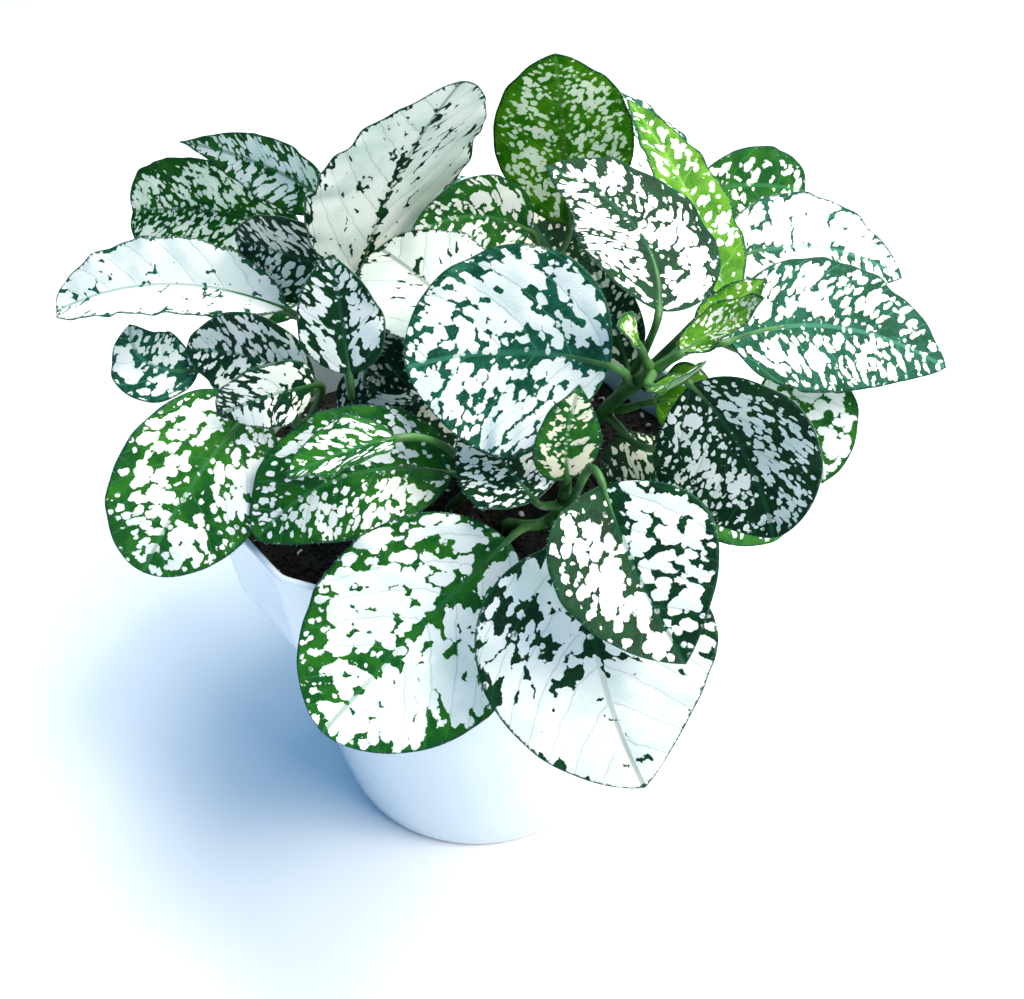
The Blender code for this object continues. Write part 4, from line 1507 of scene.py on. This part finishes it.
@dataclass
class Pot:
    """Round body under a collar of twelve soft facets, with a hollow for the soil."""

    height: float = 100.0
    rim_radius: float = 54.0
    collar_foot_radius: float = 52.4
    collar_height: float = 24.5
    sides: int = 12
    turn: float = -129.0
    corner_round: float = 7.0
    body_top_radius: float = 44.0
    base_radius: float = 36.0
    collar_wall: float = 1.6
    body_wall: float = 2.2
    floor_thickness: float = 3.0
    segments: int = 288
    sharpest: float = 48.0

    def collar_reach(self, angles: np.ndarray, corner: float) -> np.ndarray:
        """Return the radius of a rounded polygon.

        Args:
            angles: directions from the axis, in radians.
            corner: distance of the sharp corners from the axis.

        Returns:
            The radius in each direction.
        """
        half = math.pi / self.sides
        flat_at = corner * math.cos(half)
        middle = (flat_at - self.corner_round) / math.cos(half)
        offset = (angles - math.radians(self.turn)) % (2.0 * half) - half
        from_corner = half - np.abs(offset)
        flat = flat_at / np.cos(offset)
        touch = math.atan2(self.corner_round * math.sin(half), middle + self.corner_round * math.cos(half))
        inside = np.maximum(self.corner_round**2 - (middle * np.sin(from_corner)) ** 2, 0.0)
        arc = middle * np.cos(from_corner) + np.sqrt(inside)
        return np.where(from_corner < touch, arc, flat)

    def body_reach(self, height: float) -> float:
        """Return the radius of the round body at a height."""
        share = max(height, 0.0) / (self.height - self.collar_height)
        return self.base_radius + (self.body_top_radius - self.base_radius) * share**0.6

    def collar_radius(self, height: float) -> float:
        """Find how far the collar's corners stand out.

        Args:
            height: height above the floor.

        Returns:
            The radius of the corners there.
        """
        rise = height - (self.height - self.collar_height)
        flare = self.rim_radius - self.collar_foot_radius
        return self.collar_foot_radius + flare * rise / self.collar_height

    def outer_rows(self) -> list[tuple[float, float, bool]]:
        """Trace the outer wall, from the foot to the lip.

        Returns:
            Height, radius and whether it is faceted, for each ring.
        """
        step, base, top = self.height - self.collar_height, self.base_radius, self.body_top_radius
        rows = [(0.25, 4.0, False), (0.25, base - 6.0, False)]
        rows += [(0.0, base - 4.6, False), (0.0, base - 2.4, False)]
        bevel = 2.4
        foot = self.body_reach(bevel) - bevel
        turns = np.linspace(0.15, math.pi / 2.0, 7)
        rows += [(bevel - bevel * math.cos(a), foot + bevel * math.sin(a) - 0.1, False) for a in turns]
        rows += [(h, self.body_reach(h), False) for h in np.linspace(3.2, step - 1.6, 26)]
        turns = (0.0, 0.5, 1.0, 1.4)
        rows += [(step - 0.8 + 0.8 * math.sin(a), top + 1.6 - 1.6 * math.cos(a), False) for a in turns]
        bevel = 1.5
        lip = self.collar_foot_radius
        rows += [(step, lip - 4.5, True), (step, lip - 1.7, True)]
        turns = np.linspace(0.3, 1.57, 6)
        rows += [(step + bevel - bevel * math.cos(a), lip - bevel + bevel * math.sin(a), True) for a in turns]
        rows += [(h, self.collar_radius(h), True) for h in np.linspace(step + 3.0, self.height - 1.6, 9)]
        half = self.collar_wall / 2.0
        crest, rise = self.rim_radius - half - 0.05, half * 1.1
        turns = np.linspace(0.0, math.pi, 11)
        rows += [(self.height - rise + rise * math.sin(a), crest + half * math.cos(a), True) for a in turns]
        return rows

    def inner_rows(self) -> list[tuple[float, float, bool]]:
        """Trace the inner wall, from the lip down to the floor.

        Returns:
            Height, radius and whether it is faceted, for each ring.
        """
        step, top = self.height - self.collar_height, self.body_top_radius
        foot = self.collar_foot_radius - self.collar_wall
        heights = (self.height - 4.0, self.height - 8.0, self.height - 14.0, step + 3.4)
        rows = [(h, self.collar_radius(h) - self.collar_wall - 0.1, True) for h in heights]
        rows += [(step + 2.6, foot - 0.6, True), (step + 2.2, foot - 2.0, True)]
        rows += [(step + 2.2, top - self.body_wall + 1.0, False), (step + 1.2, top - self.body_wall, False)]
        rows += [(h, self.body_reach(h) - self.body_wall, False) for h in (60.0, 40.0, 20.0, 6.0)]
        rows.append((self.floor_thickness, self.body_reach(3.0) - self.body_wall - 3.0, False))
        rows.append((self.floor_thickness, 4.0, False))
        return rows

    def build(self) -> None:
        """Make the glazed pot on its node."""
        angles = math.radians(self.turn) + np.arange(self.segments) / self.segments * FULL_TURN
        rings = []
        for height, radius, faceted in self.outer_rows() + self.inner_rows():
            reach = self.collar_reach(angles, radius) if faceted else np.full(self.segments, radius)
            rings.append(ring_points(angles, reach, height))
        faces = skin_faces(len(rings), self.segments)
        pot = mesh_object("pot_glazed", np.concatenate(rings), faces, [GlazeFinish().material("glaze")])
        pot.data.set_sharp_from_angle(angle=math.radians(self.sharpest))
        settle(pot, ["pot"])


@dataclass
class Soil:
    """Crumbly soil surface, with loose crumbs and a few pale grains."""

    top: float = 90.0
    crown: float = 1.5
    settled: float = 1.2
    rings: int = 60
    bare_rings: int = 4
    spokes: int = 150
    crumb_radius: float = 0.9
    grain_radius: float = 1.1
    crumb_density: float = 460000.0
    grain_density: float = 9000.0

    def ring_quads(self, row: int) -> Faces:
        """Return the quads between a ring of the soil and the next."""
        a, b, n = 1 + row * self.spokes, 1 + (row + 1) * self.spokes, self.spokes
        return [[a + k, b + k, b + (k + 1) % n, a + (k + 1) % n] for k in range(n)]

    def surface(self, pot: Pot) -> tuple[np.ndarray, Faces]:
        """Build the soil: a rough top over a plain body.

        Args:
            pot: the pot that it fills.

        Returns:
            The points and the faces.
        """
        angles = np.arange(self.spokes) / self.spokes * 2.0 * math.pi
        edge = pot.collar_reach(angles, pot.rim_radius - 1.0) - pot.collar_wall - 0.4
        shares = np.arange(1, self.rings + 1) / self.rings
        rows = [ring_points(angles, edge * share, 0.0) for share in shares]
        flat = np.concatenate(rows)
        share = np.repeat(shares, self.spokes)
        height = self.top + self.crown * (1.0 - share**2) - self.settled
        height += 0.9 * smooth_noise(flat, 0.10, 3.0)
        height += 0.7 * smooth_noise(flat, 0.33, 5.0) + 0.35 * smooth_noise(flat, 0.9, 8.0)
        height -= self.settled * share**14
        flat[:, 2] = height
        drop = rows[-1] * np.array([0.995, 0.995, 0.0])
        drop[:, 2] = pot.height - pot.collar_height + 3.0
        foot_reach = (pot.body_top_radius - pot.body_wall - 0.4) / np.linalg.norm(drop[:, :2], axis=1)
        step = drop * np.stack([foot_reach, foot_reach, np.ones(self.spokes)], axis=1)
        base = step * np.array([0.80, 0.80, 0.0])
        base[:, 2] = pot.floor_thickness + 0.4
        centre = [[0.0, 0.0, self.top + self.crown - self.settled]]
        points = np.concatenate([centre, flat, drop, step, base])
        faces = [[0, 1 + k, 1 + (k + 1) % self.spokes] for k in range(self.spokes)]
        for row in range(self.rings + 2):
            faces += self.ring_quads(row)
        last = 1 + (self.rings + 2) * self.spokes
        faces.append([last + k for k in range(self.spokes)])
        return points, faces

    def build(self, pot: Pot) -> None:
        """Make the soil on its node, then scatter crumbs and grains.

        Args:
            pot: the pot that it fills.
        """
        points, faces = self.surface(pot)
        dark = SoilFinish().material("potting_soil")
        soil = mesh_object("soil_surface", points, faces, [dark])
        settle(soil, ["soil"])
        pale = PerliteFinish().material("pale_grain")
        crumbs = CrumbTree(self.crumb_radius * MM).build("crumb_tree", dark)
        values = {"Density": self.crumb_density, "Seed": 11, "Smallest": 0.25}
        self.scatter(points, crumbs, values, "soil_crumbs")
        grains = CrumbTree(self.grain_radius * MM).build("grain_tree", pale)
        values = {"Density": self.grain_density, "Seed": 23, "Smallest": 0.35}
        self.scatter(points, grains, values, "pale_grains")

    def scatter(
        self, points: np.ndarray, tree: bpy.types.NodeTree, values: dict[str, float], name: str
    ) -> None:
        """Scatter lumps on the soil's top.

        Args:
            points: the soil's points.
            tree: the tree that scatters them.
            values: the tree's inputs, by name.
            name: the new piece's name.
        """
        host = self.top_patch(points)
        settle(grow(host, tree, values, name), [])
        bpy.data.objects.remove(host, do_unlink=True)

    def top_patch(self, points: np.ndarray) -> bpy.types.Object:
        """Make the inner part of the soil's top as an open patch to scatter on.

        Args:
            points: the soil's points.

        Returns:
            The patch's object.
        """
        faces = [quad for row in range(self.rings - self.bare_rings) for quad in self.ring_quads(row)]
        mesh = bpy.data.meshes.new("patch")
        mesh.from_pydata((points[: 1 + self.rings * self.spokes] * MM).tolist(), [], faces)
        return link_object("patch", mesh)


# ---- studio --------------------------------------------------------------------------------
@dataclass(frozen=True)
class Lamp:
    """A square lamp over the plant: where it hangs and its side in metres, its power in watts."""

    name: str
    place: Place
    size: float
    power: float
    color: Color
    aim: Place = (0.0, 0.0, 0.10)

    def build(self) -> None:
        """Add the lamp to the scene."""
        light = bpy.data.lights.new(self.name, "AREA")
        light.size = self.size
        light.energy = self.power
        light.color = self.color
        lamp = bpy.data.objects.new(self.name, light)
        lamp.location = self.place
        lamp.rotation_euler = (Vector(self.aim) - Vector(self.place)).to_track_quat("-Z", "Y").to_euler()
        bpy.context.scene.collection.objects.link(lamp)


@dataclass
class Studio:
    """Pale floor, soft light, a sky that pales towards the horizon, and the camera."""

    eye: Place = (11.2, -200.4, 249.4)
    down: float = 40.0
    roll: float = -3.0
    lens: float = 40.43
    floor_size: float = 1.25
    sky: float = 0.55
    horizon: Color = (1.45, 1.60, 1.70)
    zenith: Color = (0.26, 0.58, 1.0)
    haze: tuple[float, float] = (0.05, 0.18)
    lamps: tuple[Lamp, ...] = (
        Lamp("key", (0.92, -0.56, 1.22), 0.85, 27.5, (1.0, 0.90, 0.76)),
        Lamp("top", (0.45, 0.40, 1.25), 0.75, 17.5, (1.0, 0.95, 0.86)),
    )

    def build(self) -> None:
        """Make the floor, the lamps, the sky and the camera."""
        mesh = bpy.data.meshes.new("floor")
        half = self.floor_size
        corners = [(-half, -half, 0.0), (half, -half, 0.0), (half, half, 0.0), (-half, half, 0.0)]
        mesh.from_pydata(corners, [], [(0, 1, 2, 3)])
        mesh.materials.append(FloorFinish().material("floor"))
        link_object("floor", mesh)
        for lamp in self.lamps:
            lamp.build()
        self.world()
        view = bpy.context.scene.view_settings
        view.view_transform = "Standard"
        view.look = "Medium High Contrast"
        self.camera()

    def world(self) -> None:
        """Add the sky, paler in a band of haze along the horizon."""
        world = bpy.data.worlds.new("studio")
        world.use_nodes = True
        net = Net(world.node_tree)
        height = net.node("SeparateXYZ", None, i0=net.node("TexCoord").outputs["Generated"]).outputs[2]
        band = net.node("ValToRGB", None, Fac=height)
        for stop, place, color in zip(band.color_ramp.elements, self.haze, (self.horizon, self.zenith)):
            stop.position = place
            stop.color = (*color, 1.0)
        background = net.tree.nodes["Background"]
        net.put(background.inputs["Color"], band.outputs[0])
        net.put(background.inputs["Strength"], self.sky)
        bpy.context.scene.world = world

    def camera(self) -> None:
        """Add the camera above the front of the pot, looking down on the leaves."""
        tilt, turn = math.radians(self.down), math.radians(self.roll)
        forward = Vector((0.0, math.cos(tilt), -math.sin(tilt)))
        right = Vector((1.0, 0.0, 0.0))
        up = right.cross(forward)
        level = right * math.cos(turn) + up * math.sin(turn)
        upright = up * math.cos(turn) - right * math.sin(turn)
        lens = bpy.data.cameras.new("camera")
        lens.lens = self.lens
        lens.sensor_width = 36.0
        lens.clip_start = 0.01
        camera = bpy.data.objects.new("camera", lens)
        aim = Matrix((level, upright, -forward)).transposed().to_4x4()
        camera.matrix_world = Matrix.Translation(Vector(self.eye) * MM) @ aim
        bpy.context.scene.collection.objects.link(camera)
        bpy.context.scene.camera = camera


def main() -> None:
    """Build the plant, the pot and the studio."""
    logging.basicConfig(level=logging.INFO, format="%(name)s: %(message)s")
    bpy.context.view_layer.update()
    green = StemFinish().material("stem_skin")
    pot = Pot()
    pot.build()
    Soil().build(pot)
    Stems().build(green)
    Foliage().build(green)
    Studio().build()
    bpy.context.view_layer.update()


if __name__ == "__main__":
    main()
